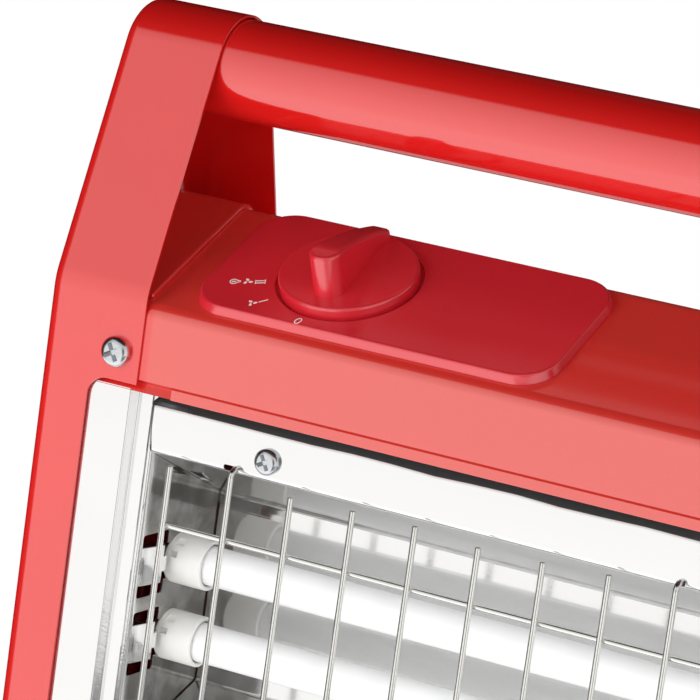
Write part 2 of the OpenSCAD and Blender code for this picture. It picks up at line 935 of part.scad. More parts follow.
module dial_knob() {
    color(dial_red)
        on_deck()
            translate([knob_x, knob_s, 0])
                difference() {
                    union() {
                        knob_disc();
                        knob_lever();
                    }
                    flat_spindle(spindle_r + run_gap, spindle_flat + run_gap, knob_low - over,
                        spindle_top + run_gap, knob_low - over);
                }
}

switch_top = -boss_drop - sheet_t;
spindle_in = 12;

module switch_spindle() {
    color(zinc)
        on_deck()
            translate([knob_x, knob_s, 0])
                flat_spindle(spindle_r, spindle_flat, switch_top - spindle_in, spindle_top, recess_floor);
}

module switch_body() {
    color(black)
        on_deck()
            translate([knob_x, knob_s, switch_top])
                difference() {
                    union() {
                        translate([-switch_size[0] / 2, -switch_size[1] / 2, -switch_size[2]])
                            cube(switch_size);
                        translate([-ear_half, -post_r, -ear_t])
                            cube([2 * ear_half, 2 * post_r, ear_t]);
                    }
                    translate([0, 0, -spindle_in - seat_gap])
                        cylinder(r = spindle_r + run_gap, h = spindle_in + seat_gap + over);
                    for (side = [-1, 1])
                        translate([side * post_x, 0, -ear_t - over])
                            cylinder(r = switch_screw_r + run_gap, h = ear_t + 2 * over);
                }
}

module switch_screws() {
    head_r = 2.7;
    head_h = 1.6;
    color(zinc)
        on_deck()
            for (side = [-1, 1])
                translate([knob_x + side * post_x, knob_s, switch_top - ear_t])
                    mirror([0, 0, 1])
                        pan_screw(switch_screw_r, head_r, head_h, ear_t + boss_drop - over);
}

// Tubes, caps and their terminals

module quartz_tube(i) {
    color(white)
        translate([-quartz_end_x, quartz_y, quartz_z(i)])
            rotate([0, 90, 0])
                difference() {
                    cylinder(r = quartz_r, h = 2 * quartz_end_x);
                    translate([0, 0, -over])
                        cylinder(r = quartz_r - quartz_wall, h = 2 * (quartz_end_x + over));
                }
}

module heating_coil(i) {
    coil_r = quartz_r - quartz_wall - seat_gap;
    coil_t = 0.8;
    color(zinc)
        translate([-quartz_end_x, quartz_y, quartz_z(i)])
            rotate([0, 90, 0])
                difference() {
                    cylinder(r = coil_r, h = 2 * quartz_end_x);
                    translate([0, 0, -over])
                        cylinder(r = coil_r - coil_t, h = 2 * (quartz_end_x + over));
                }
}

// A cap on the left: sleeve over the tube, neck in the tube plate's slot, head behind it
module end_cap(i) {
    color(white)
        translate([-cap_in_x, quartz_y, quartz_z(i)])
            rotate([0, -90, 0])
                difference() {
                    union() {
                        cylinder(r = cap_r, h = cap_l);
                        cylinder(r = neck_r, h = cap_l + neck_l + cap_head_l);
                        translate([0, 0, cap_l + neck_l])
                            cylinder(r = cap_r, h = cap_head_l);
                    }
                    translate([0, 0, -over])
                        cylinder(r = quartz_r + run_gap, h = quartz_end_x - cap_in_x + run_gap + over);
                    cylinder(r = pin_r + run_gap, h = 2 * (cap_l + neck_l + cap_head_l));
                }
}

module right_cap(i) {
    mirror([1, 0, 0])
        end_cap(i);
}

// A screwed pin and its nut at every tube's end
module tube_terminals() {
    color(zinc)
        both_sides()
            for (i = [1 : 4])
                translate([-quartz_end_x - seat_gap, quartz_y, quartz_z(i)])
                    rotate([0, -90, 0]) {
                        cylinder(r = pin_r, h = pin_end_x - quartz_end_x - seat_gap);
                        translate([0, 0, cap_head_x + cap_head_l - quartz_end_x - seat_gap + run_gap])
                            cylinder(r = nut_r, h = nut_l, $fn = 6);
                    }
}

// Fan and motor

module along_shaft(y) {
    translate([0, y, fan_z])
        rotate([-90, 0, 0])
            children();
}

module fan_blades() {
    color(black)
        along_shaft(fan_y)
            difference() {
                union() {
                    translate([0, 0, -hub_l / 2])
                        cylinder(r = hub_r, h = hub_l);
                    intersection() {
                        for (k = [0 : blade_n - 1])
                            rotate([0, 0, 360 * k / blade_n])
                                rotate([blade_pitch, 0, 0])
                                    translate([hub_r - over, -blade_w / 2, -blade_t / 2])
                                        cube([fan_d, blade_w, blade_t]);
                        translate([0, 0, -blade_w])
                            cylinder(r = fan_d / 2, h = 2 * blade_w);
                    }
                }
                translate([0, 0, -hub_l])
                    cylinder(r = shaft_r + run_gap / 2, h = 2 * hub_l);
            }
}

shaft_front_y = fan_y - hub_l / 2 - over;
shaft_back_y = back_plate_y + plate_t + over;

module fan_shaft() {
    color(zinc)
        along_shaft(shaft_front_y)
            cylinder(r = shaft_r, h = shaft_back_y - shaft_front_y);
}

module motor_rotor() {
    color(zinc)
        along_shaft(core_y)
            difference() {
                cylinder(r = rotor_r, h = core_size[1]);
                translate([0, 0, -over])
                    cylinder(r = shaft_r + run_gap / 2, h = core_size[1] + 2 * over);
            }
}

limb_h = 10;

// The laminated core: a ring about the rotor, open below for the coil's limb
module motor_core() {
    window_w = core_size[0] - 2 * limb_h;
    window_low = -core_size[2] / 2 - coil_size[2];
    color(zinc)
        along_shaft(core_y)
            difference() {
                translate([-core_size[0] / 2, -core_size[2] / 2, 0])
                    cube([core_size[0], core_size[2] + coil_size[2] + limb_h, core_size[1]]);
                translate([-window_w / 2, -window_low - coil_size[2], -over])
                    cube([window_w, coil_size[2], core_size[1] + 2 * over]);
                translate([0, 0, -over])
                    cylinder(r = core_bore_r, h = core_size[1] + 2 * over);
            }
}

// The coil, wound round the core's lower limb
module motor_coil() {
    limb_top = core_size[2] / 2 + coil_size[2];
    color(copper)
        along_shaft(core_y)
            difference() {
                translate([-coil_size[0] / 2, limb_top - coil_out, -coil_out])
                    cube([coil_size[0], limb_h + 2 * coil_out, core_size[1] + 2 * coil_out]);
                translate([-coil_size[0] / 2 - over, limb_top - seat_gap, -seat_gap])
                    cube([coil_size[0] + 2 * over, limb_h + 2 * seat_gap, core_size[1] + 2 * seat_gap]);
            }
}

// A strip with the shaft's bearing, held off the core by two pillars
module bearing_plate() {
    edge = 2;
    half_l = pillar_x + pillar_r + edge;
    half_h = bearing_r + edge;
    difference() {
        union() {
            translate([-half_l, -half_h, 0])
                cube([2 * half_l, 2 * half_h, plate_t]);
            cylinder(r = bearing_r, h = plate_t + bearing_l);
            for (side = [-1, 1])
                translate([side * pillar_x, 0, 0])
                    cylinder(r = pillar_r, h = plate_t + core_gap);
        }
        translate([0, 0, -over])
            cylinder(r = shaft_r + run_gap, h = plate_t + bearing_l + 2 * over);
    }
}

module motor_front_plate() {
    color(zinc)
        along_shaft(front_plate_y)
            bearing_plate();
}

module motor_back_plate() {
    color(zinc)
        along_shaft(back_plate_y + plate_t)
            mirror([0, 0, 1])
                bearing_plate();
}

bracket_line = [[-bracket_half - bracket_foot, fan_panel_back_y], [-bracket_half, fan_panel_back_y],
    [-bracket_half, bracket_y], [bracket_half, bracket_y], [bracket_half, fan_panel_back_y],
    [bracket_half + bracket_foot, fan_panel_back_y]];

module fan_bracket() {
    bend = 1;
    shaft_room = 2;
    color(zinc)
        difference() {
            translate([0, 0, fan_z - bracket_h / 2])
                linear_extrude(bracket_h)
                    polygon(sheet(bracket_line, [0, bend, bend, bend, bend, 0], -bracket_t));
            hole_y(0, bracket_y, fan_z, shaft_r + shaft_room, 4 * bracket_t);
            for (side = [-1, 1])
                hole_y(side * (bracket_half + bracket_foot / 2), fan_panel_back_y, fan_z, screw_hole_r,
                    4 * bracket_t);
        }
}

// Safety and supply pieces

module thermal_cutout() {
    flange_h = 1.5;
    flange_half = 11.2;
    color(black)
        translate([cutout_x, trough_back_y + bright_t, trough_z(true)])
            rotate([-90, 0, 0]) {
                cylinder(r = cutout_r, h = cutout_h);
                translate([-flange_half, -cutout_r / 2, 0])
                    cube([2 * flange_half, cutout_r, flange_h]);
            }
}

module terminal_block() {
    ways = 4;
    way_w = block_size[0] / ways;
    color(white)
        translate([block_x, block_y, base_z + sheet_t])
            difference() {
                translate([-block_size[0] / 2, -block_size[1] / 2, 0])
                    cube(block_size);
                for (k = [0 : ways - 1])
                    translate([(k - (ways - 1) / 2) * way_w, 0, block_size[2] / 2])
                        cylinder(r = way_w / 4, h = block_size[2]);
            }
}

module tip_switch() {
    color(black)
        translate([tip_x, 0, base_z + sheet_t])
            difference() {
                translate([-tip_size[0] / 2, -tip_size[1] / 2, 0])
                    cube(tip_size);
                translate([0, 0, -over])
                    cylinder(r = plunger_r + plunger_gap, h = tip_floor + 2 * over);
                translate([0, 0, tip_floor])
                    cylinder(r = plunger_head_r + plunger_gap, h = tip_size[2] - tip_floor - tip_roof);
            }
}

// The plunger rests on the floor, and drops by its travel when the heater is lifted
module tip_plunger() {
    color(white)
        translate([tip_x, 0, 0]) {
            cylinder(r = plunger_r, h = plunger_top);
            translate([0, 0, plunger_head_z])
                cylinder(r = plunger_head_r, h = plunger_head_h);
        }
}

// The bush that the supply lead comes out of, with a groove for the back panel
module cord_gland() {
    inner_y = back_y - sheet_t - gland_in;
    color(black)
        translate([gland_x, inner_y, gland_z])
            rotate([-90, 0, 0])
                difference() {
                    union() {
                        cylinder(r = gland_nose_r, h = gland_in);
                        cylinder(r = gland_r, h = gland_in + sheet_t + gland_out);
                        translate([0, 0, gland_in + sheet_t])
                            cylinder(r = gland_flange_r, h = gland_out);
                    }
                    translate([0, 0, -over])
                        cylinder(r = gland_bore_r, h = gland_in + sheet_t + gland_out + 2 * over);
                }
}

// A lead's direction at each of its points, and a side of it that turns as little as it can
function way_at(pts, i) = unit(unit(pts[min(i + 1, len(pts) - 1)] - pts[min(i, len(pts) - 2)])
    + unit(pts[max(i, 1)] - pts[max(i - 1, 0)]));
function side_of(v, way) = unit(v - (v * way) * way);
function lead_sides(pts) = [for (i = 0, v = side_of([0.3, 0.5, 0.8], way_at(pts, 0)); i < len(pts);
    i = i + 1, v = i < len(pts) ? side_of(v, way_at(pts, i)) : v) v];
lead_faces = 6;

// A lead along straight runs
module lead(pts) {
    n = len(pts);
    sides = lead_sides(pts);
    points = [for (i = [0 : n - 1], k = [0 : lead_faces - 1])
        let (a = 360 * k / lead_faces)
        pts[i] + lead_r * (cos(a) * sides[i] + sin(a) * cross(way_at(pts, i), sides[i]))];
    skin = [for (i = [0 : n - 2], k = [0 : lead_faces - 1])
        let (next = (k + 1) % lead_faces, row = i * lead_faces, up = (i + 1) * lead_faces)
        each [[row + k, up + k, up + next], [row + k, up + next, row + next]]];
    ends = [[for (k = [0 : lead_faces - 1]) k],
        [for (k = [lead_faces - 1 : -1 : 0]) (n - 1) * lead_faces + k]];
    polyhedron(points, concat(skin, ends));
}

// Places that the leads run to
lead_x = pin_end_x + lead_r + seat_gap;
lead_clear = 8.3;
lead_back_y = trough_back_y + bright_t + lead_r + lead_clear;
lead_step = 4;
lead_rise = 8;
block_way = block_size[0] / 4;
block_top = base_z + sheet_t + block_size[2] + seat_gap;
function block_at(k, z) = [block_x + (k - 1.5) * block_way, block_y, block_top + z];
switch_base = switch_top - switch_size[2];
switch_exit = 1.6;
switch_out_y = front_y + knob_s * cos(deck_tilt) - switch_base * sin(deck_tilt);
switch_out_z = deck_z + knob_s * sin(deck_tilt) + switch_base * cos(deck_tilt) - switch_exit;
switch_way = 6;
function switch_at(k, z) = [knob_x + k * switch_way, switch_out_y, switch_out_z - z];
tail_rise = 12;
tail_z = lower_win_z + tail_rise;
cross_rise = 20;
cross_z = mid_low_z + cross_rise;
upper_z = upper_flange_z + lead_step;
cutout_end_y = trough_back_y + bright_t + cutout_h + seat_gap;
supply_y = (cutout_end_y + back_y - sheet_t) / 2;
supply_rise = 24;
supply_z = block_top + supply_rise;
cutout_way = 4;
coil_end = [-coil_size[0] / 2 - lead_r, core_y + core_size[1] + coil_wrap / 2,
    fan_z - core_size[2] / 2 - coil_size[2] - limb_h / 2];
coil_drop = 42;
tip_lead_rise = 18;
tip_lead_z = base_z + sheet_t + tip_lead_rise;
tip_lead_x = block_x + block_size[0] / 2;
tip_lead_turn = 14;

module wiring() {
    color(black) {
        // Common lead down the right-hand ends of all four tubes, and back to the terminal block
        lead([[lead_x, quartz_y, quartz_z(1)], [lead_x, quartz_y, tail_z], [lead_x, lead_back_y, tail_z],
            [block_at(3, 0)[0], lead_back_y, tail_z], block_at(3, lead_rise), block_at(3, 0)]);
        // Upper pair's lead, from the left-hand ends to the switch
        lead([[-lead_x, quartz_y, quartz_z(2)], [-lead_x, quartz_y, upper_flange_z],
            [-lead_x, lead_back_y, upper_flange_z], [knob_x - switch_way, lead_back_y, upper_flange_z],
            switch_at(-1, lead_rise), switch_at(-1, 0)]);
        // Lower pair's lead, from the left-hand ends to the switch
        lead([[-lead_x, quartz_y, quartz_z(4)], [-lead_x, quartz_y, cross_z],
            [-lead_x, lead_back_y + lead_step, cross_z], [knob_x, lead_back_y + lead_step, cross_z],
            [knob_x, lead_back_y + lead_step, upper_z], switch_at(0, lead_rise), switch_at(0, 0)]);
        // Supply from the terminal block to the thermal cut-out
        lead([block_at(2, 0), block_at(2, lead_rise), [block_at(2, 0)[0], supply_y, supply_z],
            [cutout_x - cutout_way, supply_y, mid_low_z], [cutout_x - cutout_way, supply_y, trough_z(true)],
            [cutout_x - cutout_way, cutout_end_y, trough_z(true)]]);
        // Supply from the thermal cut-out to the switch
        lead([[cutout_x + cutout_way, cutout_end_y, trough_z(true)],
            [cutout_x + cutout_way, supply_y, trough_z(true)],
            [cutout_x + cutout_way, supply_y, trough_z(true) + lead_rise],
            [knob_x + switch_way, supply_y, upper_z], switch_at(1, lead_rise), switch_at(1, 0)]);
        // Tip-over switch to the terminal block
        lead([[tip_x - tip_size[0] / 2 - seat_gap, 0, tip_lead_z],
            [tip_lead_x + tip_lead_turn, 0, tip_lead_z],
            [tip_lead_x + lead_r + seat_gap, block_y, base_z + sheet_t + block_size[2] / 2]]);
        // Motor coil to the terminal block
        lead([coil_end, [block_at(1, 0)[0], coil_end[1], coil_end[2] - coil_drop], block_at(1, lead_rise),
            block_at(1, 0)]);
    }
}

// Feet

foot_top_half = half_d + foot_top_over;
foot_line = [[-foot_l / 2, foot_low], [-foot_l / 2, foot_low + foot_end_h], [-foot_top_half, base_z],
    [foot_top_half, base_z], [foot_l / 2, foot_low + foot_end_h], [foot_l / 2, foot_low]];

module foot() {
    screw_recess = foot_h - foot_low - foot_web;
    color(black)
        difference() {
            along_x(-foot_x - foot_w / 2, -foot_x + foot_w / 2)
                polygon(rounded(foot_line, [0, foot_edge_r, foot_bend_r, foot_bend_r, foot_edge_r, 0]));
            for (side = [-1, 1]) {
                translate([-foot_x, side * pad_y, foot_low - over])
                    cylinder(r = pad_r + run_gap, h = pad_sink + over);
                translate([-foot_x, side * foot_screw_y, foot_low - over]) {
                    cylinder(r = screw_hole_r, h = base_z);
                    cylinder(r = screw_head_r + seat_gap, h = screw_recess + over);
                }
            }
        }
}

module left_foot() {
    foot();
}

module right_foot() {
    mirror([1, 0, 0])
        foot();
}

module foot_pads() {
    color(black)
        both_sides()
            for (side = [-1, 1])
                translate([-foot_x, side * pad_y, 0])
                    cylinder(r = pad_r, h = pad_h);
}

// Screws

module flange_screws() {
    color(zinc)
        front_and_back()
            both_sides()
                for (z = [flange_screw_z, flange_screw_low_z])
                    translate([-flange_screw_x, -half_d, z])
                        rotate([90, 0, 0])
                            case_screw();
}

module reflector_screws() {
    color(zinc)
        both_halves()
            both_sides()
                translate([-reflector_screw_x, rim_y, top_win_z + reflector_screw_in])
                    rotate([90, 0, 0])
                        case_screw();
}

module back_screws() {
    color(zinc)
        both_sides()
            for (z = back_screw_zs)
                translate([-back_screw_x, half_d, z])
                    rotate([-90, 0, 0])
                        case_screw();
}

module fan_screws() {
    color(zinc)
        both_sides() {
            for (z = [mid_low_z + fan_screw_in, mid_high_z - fan_screw_in])
                translate([-reflector_screw_x, rim_y, z])
                    rotate([90, 0, 0])
                        case_screw();
            translate([-bracket_half - bracket_foot / 2, fan_panel_y, fan_z])
                rotate([90, 0, 0])
                    case_screw();
        }
}

module handle_screws() {
    head_r = 5;
    head_h = 3;
    color(zinc)
        both_sides()
            translate([-half_w, 0, handle_z])
                rotate([0, -90, 0])
                    pan_screw(handle_screw_r, head_r, head_h, plug_l);
}

module foot_screws() {
    color(zinc)
        both_sides()
            for (side = [-1, 1])
                translate([-foot_x, side * foot_screw_y, base_z - foot_web])
                    mirror([0, 0, 1])
                        case_screw();
}

left_end_panel();
right_end_panel();
top_cover();
back_panel();
base_pan();
left_tube_plate();
right_tube_plate();
upper_reflector();
lower_reflector();
fan_panel();
wire_guard();
handle_tube();
handle_plugs();
control_panel();
dial_knob();
switch_spindle();
switch_body();
quartz_tube(1);  // quartz_tube_1
quartz_tube(2);  // quartz_tube_2
quartz_tube(3);  // quartz_tube_3
quartz_tube(4);  // quartz_tube_4
heating_coil(1);  // heating_coil_1
heating_coil(2);  // heating_coil_2
heating_coil(3);  // heating_coil_3
heating_coil(4);  // heating_coil_4
end_cap(1);  // left_cap_1
end_cap(2);  // left_cap_2
end_cap(3);  // left_cap_3
end_cap(4);  // left_cap_4
right_cap(1);  // right_cap_1
right_cap(2);  // right_cap_2
right_cap(3);  // right_cap_3
right_cap(4);  // right_cap_4
tube_terminals();
fan_blades();
fan_shaft();
motor_rotor();
motor_core();
motor_coil();
motor_front_plate();
motor_back_plate();
fan_bracket();
thermal_cutout();
terminal_block();
tip_switch();
tip_plunger();
cord_gland();
wiring();
left_foot();
right_foot();
foot_pads();
flange_screws();
reflector_screws();
back_screws();
fan_screws();
handle_screws();
switch_screws();
foot_screws();
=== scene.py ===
"""Quartz heater: painted sheet case, bright troughs behind a wire guard, a dial and a carrying handle."""

from math import atan2, cos, pi, radians, sin, tan

import bmesh
import bpy
from bpy.props import FloatProperty, FloatVectorProperty, PointerProperty
from mathutils import Matrix, Vector


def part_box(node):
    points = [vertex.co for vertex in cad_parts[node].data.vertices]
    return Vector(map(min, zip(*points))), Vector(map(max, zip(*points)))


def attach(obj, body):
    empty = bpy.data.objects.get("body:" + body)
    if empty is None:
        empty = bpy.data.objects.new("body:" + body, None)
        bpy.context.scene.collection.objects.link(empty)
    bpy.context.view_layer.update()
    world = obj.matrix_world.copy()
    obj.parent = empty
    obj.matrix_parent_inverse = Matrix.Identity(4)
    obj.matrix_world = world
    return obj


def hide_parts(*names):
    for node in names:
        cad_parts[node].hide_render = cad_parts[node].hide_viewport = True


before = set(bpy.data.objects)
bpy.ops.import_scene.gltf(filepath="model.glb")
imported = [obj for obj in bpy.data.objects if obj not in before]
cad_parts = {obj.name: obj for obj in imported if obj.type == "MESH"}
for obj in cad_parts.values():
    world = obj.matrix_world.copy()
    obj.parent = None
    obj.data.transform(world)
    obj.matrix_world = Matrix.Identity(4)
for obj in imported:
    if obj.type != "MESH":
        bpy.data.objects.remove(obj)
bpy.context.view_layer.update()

bl_info = {
    "name": "Quartz heater",
    "version": (1, 0, 0),
    "blender": (4, 5, 0),
    "location": "View3D > Sidebar > Heater",
    "description": "Models the pieces of a quartz heater around its packed frame",
    "category": "Object",
}

MM = 0.001
SIDES = (-1, 1)

# The share of a normal or an edge along an axis from which it counts as lying along it
ALONG = 0.9

# Points closer than this are merged, in metres
WELD_GAP = 0.00001

# Places in mm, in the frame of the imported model
HALF_W = 206.0
HALF_D = 38.2
FRONT_Y = -37.4
BACK_Y = 37.4
LIP_Y = -37.9
STRIP_Y = -36.8
RIM_Y = -32.4
FAN_PANEL_Y = -31.9
FAN_Y = -18.4
TROUGH_Y = 12.6
WIRE_Y = -35.4
QUARTZ_Y = -7.4
BASE_Z = 16.0
KINK_Z = 375.2
HANDLE_Z = 439.1
DECK_Z = 372.0
MID_Z = 194.0
COVER_HALF = 202.0
CHEEK_X = 169.0
REFLECTOR_HALF = 168.6
LANCE_X = 165.0
ARM_R = 15.9
ARM_LEAN = radians(18.5)
DECK_TILT = radians(26.5)
DECK_L = 59.6
QUARTZ_Z = (294.45, 271.15, 116.85, 93.55)
CROSS_WIRE_Z = (78.0, 155.4, 232.6, 310.0)
HOOK_XS = (-140.0, 0.0, 140.0)
WIRE_PITCH = 20.0
KNOB_X, KNOB_S = -122.9, 29.6
PANEL_TOP = 3.0
MARK_T = 0.05

# The deck's own frame: x along the case, y up the slope, z off the deck
DECK = Matrix((
    (1, 0, 0, 0),
    (0, cos(DECK_TILT), -sin(DECK_TILT), FRONT_Y * MM),
    (0, sin(DECK_TILT), cos(DECK_TILT), DECK_Z * MM),
    (0, 0, 0, 1),
))


def box_size(node_name, axis):
    low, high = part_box(node_name)
    return high[axis] - low[axis]


def length(label, text, default):
    return FloatProperty(name=label, description=text, default=default, min=0.0, unit="LENGTH", precision=5)


def colour(label, text, default):
    return FloatVectorProperty(name=label, description=text, default=default, size=3, min=0.0, max=1.0,
                               subtype="COLOR")


class HeaterSizes(bpy.types.PropertyGroup):
    """Sizes of the sheet pieces, tubes and knob"""
    sheet: length("Case sheet", "Thickness of the painted sheet", 0.0008)
    bright: length("Bright sheet", "Thickness of the bright sheet", 0.0005)
    tube_wall: length("Tube wall", "Thickness of the handle tube and the quartz tubes", 0.0012)
    end_bend: length("End bend", "Outer radius of the bend round an end panel", 0.0042)
    notch_r: length("Flange corner", "Radius in the corners of the cut flange", 0.006)
    deck_front: length("Deck front bend", "Outer radius of the bend along the deck's front", 0.005)
    deck_back: length("Deck back bend", "Outer radius of the bend along the deck's back", 0.006)
    edge: length("Sheet edge", "Radius along the cut edges of painted sheet", 0.0003)
    handle: length("Handle diameter", "Diameter of the handle tube", box_size("handle_tube", 2))
    wire: length("Guard wire", "Diameter of the guard's wires", 0.0018)
    quartz: length("Quartz tube", "Diameter of a quartz tube", box_size("quartz_tube_1", 2))
    cap: length("Ceramic cap", "Diameter of a ceramic cap", box_size("left_cap_1", 2))
    panel_r: length("Panel corner", "Corner radius of the control panel", 0.011)
    knob: length("Knob", "Diameter of the dial knob's disc", 0.0407)
    screw: length("Screw head", "Diameter of a screw head", 0.0078)


class HeaterColours(bpy.types.PropertyGroup):
    """Colours of the finishes"""
    paint: colour("Paint", "Gloss coat of the case", (0.66, 0.0118, 0.0105))
    paint_deep: colour("Deep paint", "Thicker places in the gloss coat", (0.57, 0.009, 0.008))
    dial: colour("Dial plastic", "Satin plastic of the control panel and knob", (0.60, 0.017, 0.030))
    mark: colour("Marks", "Print on the control panel", (0.86, 0.85, 0.84))
    bright: colour("Bright sheet", "Mirror finished sheet", (0.9, 0.9, 0.9))
    # Heat stain, which also paints a dark reflection on the inner end walls
    stain_and_dark_reflection: colour("Heat stain", "Bright sheet that heat has darkened", (0.3, 0.285, 0.265))
    wire: colour("Guard wire", "Plated wire", (0.88, 0.875, 0.85))
    coil: colour("Heating wire", "Wire of the heating coils", (0.35, 0.33, 0.31))
    screw: colour("Screw", "Plated screws", (0.72, 0.74, 0.77))
    zinc: colour("Zinc steel", "Plated steel of the motor and brackets", (0.52, 0.54, 0.56))
    quartz: colour("Quartz", "Frosted quartz", (0.9, 0.902, 0.906))
    ceramic: colour("Ceramic", "Glazed ceramic", (0.88, 0.87, 0.84))
    black: colour("Black plastic", "Moulded plastic of feet and fan", (0.022, 0.022, 0.024))
    white: colour("White plastic", "Moulded plastic of the plunger and block", (0.78, 0.77, 0.74))
    copper: colour("Copper", "Lacquered winding", (0.55, 0.21, 0.08))
    rubber: colour("Rubber", "Foot pads", (0.03, 0.03, 0.03))
    sheath: colour("Wire sheath", "Sheath of the inner wires", (0.75, 0.73, 0.68))
    sheath_deep: colour("Deep wire sheath", "Darker places of the sheath", (0.68, 0.65, 0.6))
    # Dust colour, which also paints a pale sheen of reflected light on the deck and the cover's front
    dust: colour("Dust", "Settled dust", (0.6, 0.58, 0.42))
    floor: colour("Floor", "Pale floor", (0.88, 0.88, 0.88))


# Modelling steps

def spot(x, y, z):
    """A place given in mm"""
    return Vector((x, y, z)) * MM


def to(x, y, z):
    return Matrix.Translation(spot(x, y, z))


def turn(angle, axis):
    return Matrix.Rotation(angle, 4, axis)


MIRROR_X = Matrix.Diagonal((-1, 1, 1, 1))
MIRROR_Z = to(0, 0, 2 * MID_Z) @ Matrix.Diagonal((1, 1, -1, 1))


def leave():
    """Back to object mode with nothing chosen"""
    if bpy.context.mode != "OBJECT":
        bpy.ops.object.mode_set(mode="OBJECT")
    bpy.ops.object.select_all(action="DESELECT")


def pick(*pieces):
    leave()
    for piece in pieces:
        piece.select_set(True)
    bpy.context.view_layer.objects.active = pieces[-1]


def edit(piece):
    """Opens a piece for editing"""
    pick(piece)
    bpy.ops.object.mode_set(mode="EDIT")


def rename(piece, name):
    piece.name = name
    piece.data.name = name


def opened(name, stretch=(1, 1, 1)):
    """Names the new primitive, puts its size and place in its mesh and opens it for editing"""
    piece = bpy.context.object
    piece.scale = stretch
    rename(piece, name)
    bpy.ops.object.transform_apply(location=True, rotation=True, scale=True)
    bpy.ops.object.mode_set(mode="EDIT")
    bpy.ops.mesh.select_all(action="DESELECT")
    return piece


def block(name, low, high):
    leave()
    low, high = Vector(low), Vector(high)
    bpy.ops.mesh.primitive_cube_add(size=1, location=(low + high) / 2 * MM)
    return opened(name, (high - low) * MM)


LIE = {"X": (0, pi / 2, 0), "Y": (-pi / 2, 0, 0), "Z": (0, 0, 0)}


def bar(name, middle, r, l, axis, sides=48, ends="NGON"):
    leave()
    bpy.ops.mesh.primitive_cylinder_add(vertices=sides, radius=r * MM, depth=l * MM, end_fill_type=ends,
                                        location=spot(*middle), rotation=LIE[axis])
    return opened(name)


def ring(name, middle, r, axis, sides, fill="NOTHING"):
    leave()
    bpy.ops.mesh.primitive_circle_add(vertices=sides, radius=r * MM, fill_type=fill, location=spot(*middle),
                                      rotation=LIE[axis])
    return opened(name)


def at(item):
    """Middle of a point, edge or face, in mm"""
    if isinstance(item, bmesh.types.BMVert):
        return item.co / MM
    if isinstance(item, bmesh.types.BMEdge):
        return (item.verts[0].co + item.verts[1].co) / (2 * MM)
    return item.calc_center_median() / MM


def along(edge):
    return (edge.verts[1].co - edge.verts[0].co).normalized()


def runs(edge, axis):
    """Whether an edge lies along an axis"""
    return abs(along(edge)["XYZ".index(axis)]) > ALONG


def level(edge):
    return abs(along(edge).z) < 0.1


def near(a, b, slack=0.02):
    return abs(a - b) < slack


def choose(kind, test):
    """Chooses the points, edges or faces of the open piece that pass the test"""
    bpy.ops.mesh.select_mode(type=kind)
    bpy.ops.mesh.select_all(action="DESELECT")
    data = bpy.context.edit_object.data
    shape = bmesh.from_edit_mesh(data)
    items = {"VERT": shape.verts, "EDGE": shape.edges, "FACE": shape.faces}[kind]
    hits = [item for item in items if test(item)]
    if not hits:
        raise RuntimeError("nothing to choose on " + bpy.context.edit_object.name)
    for item in hits:
        item.select_set(True)
    shape.select_flush_mode()
    bmesh.update_edit_mesh(data)


def choose_all():
    bpy.ops.mesh.select_all(action="SELECT")


def pull(x=0.0, y=0.0, z=0.0):
    """Extrudes what is chosen"""
    bpy.ops.mesh.extrude_region_move(TRANSFORM_OT_translate={"value": spot(x, y, z)})


def draw_to(x, y, z):
    """Draws a new edge from the chosen point to a place"""
    shape = bmesh.from_edit_mesh(bpy.context.edit_object.data)
    start = next(v.co.copy() for v in shape.verts if v.select)
    bpy.ops.mesh.extrude_vertices_move(TRANSFORM_OT_translate={"value": spot(x, y, z) - start})


def shift(x=0.0, y=0.0, z=0.0):
    bpy.ops.transform.translate(value=spot(x, y, z))


def inset(width):
    bpy.ops.mesh.inset(thickness=width * MM)


def bevel(offset, segments=3, kind="EDGES"):
    bpy.ops.mesh.bevel(offset=offset * MM, offset_type="OFFSET", segments=segments, profile=0.5, affect=kind)


def slice_at(place, normal):
    """Cuts new edges all round the open piece in a plane"""
    choose_all()
    bpy.ops.mesh.bisect(plane_co=place, plane_no=normal)


def fill(test):
    """Closes the chosen points to an edge, then the whole outline to a face"""
    choose("VERT", test)
    bpy.ops.mesh.edge_face_add()
    choose_all()
    bpy.ops.mesh.edge_face_add()


def weld():
    choose_all()
    bpy.ops.mesh.remove_doubles(threshold=WELD_GAP)


def all_out():
    """Turns every face of the open piece outwards"""
    choose_all()
    bpy.ops.mesh.normals_make_consistent(inside=False)


def apply(piece, kind, **values):
    """Adds a modifier and applies it"""
    pick(piece)
    step = piece.modifiers.new(kind.title(), kind)
    for key, value in values.items():
        setattr(step, key, value)
    bpy.ops.object.modifier_apply(modifier=step.name)


def thicken(piece, t, offset=-1.0):
    apply(piece, "SOLIDIFY", thickness=t, offset=offset, use_even_offset=True)


def cut(piece, cutter):
    apply(piece, "BOOLEAN", operation="DIFFERENCE", object=cutter, solver="EXACT")
    bpy.data.objects.remove(cutter)


def round_edges(piece, width, segments=2, angle=40.0):
    apply(piece, "BEVEL", width=width, segments=segments, limit_method="ANGLE", angle_limit=radians(angle))


def joined(name, pieces):
    pick(*pieces)
    bpy.ops.object.join()
    piece = bpy.context.object
    rename(piece, name)
    return piece


def moved(piece, matrix):
    pick(piece)
    piece.matrix_world = matrix
    bpy.ops.object.transform_apply(location=True, rotation=True, scale=True)
    if matrix.determinant() < 0:
        edit(piece)
        choose_all()
        bpy.ops.mesh.flip_normals()
        leave()


def copied(piece, name, matrix):
    """A copy with a mesh of its own, put in place by a matrix"""
    pick(piece)
    bpy.ops.object.duplicate(linked=False)
    copy = bpy.context.object
    rename(copy, name)
    moved(copy, matrix)
    return copy


def dress(piece, slot):
    """Gives a piece one finish all over"""
    piece.data.materials.clear()
    piece.data.materials.append(finish_of(slot))


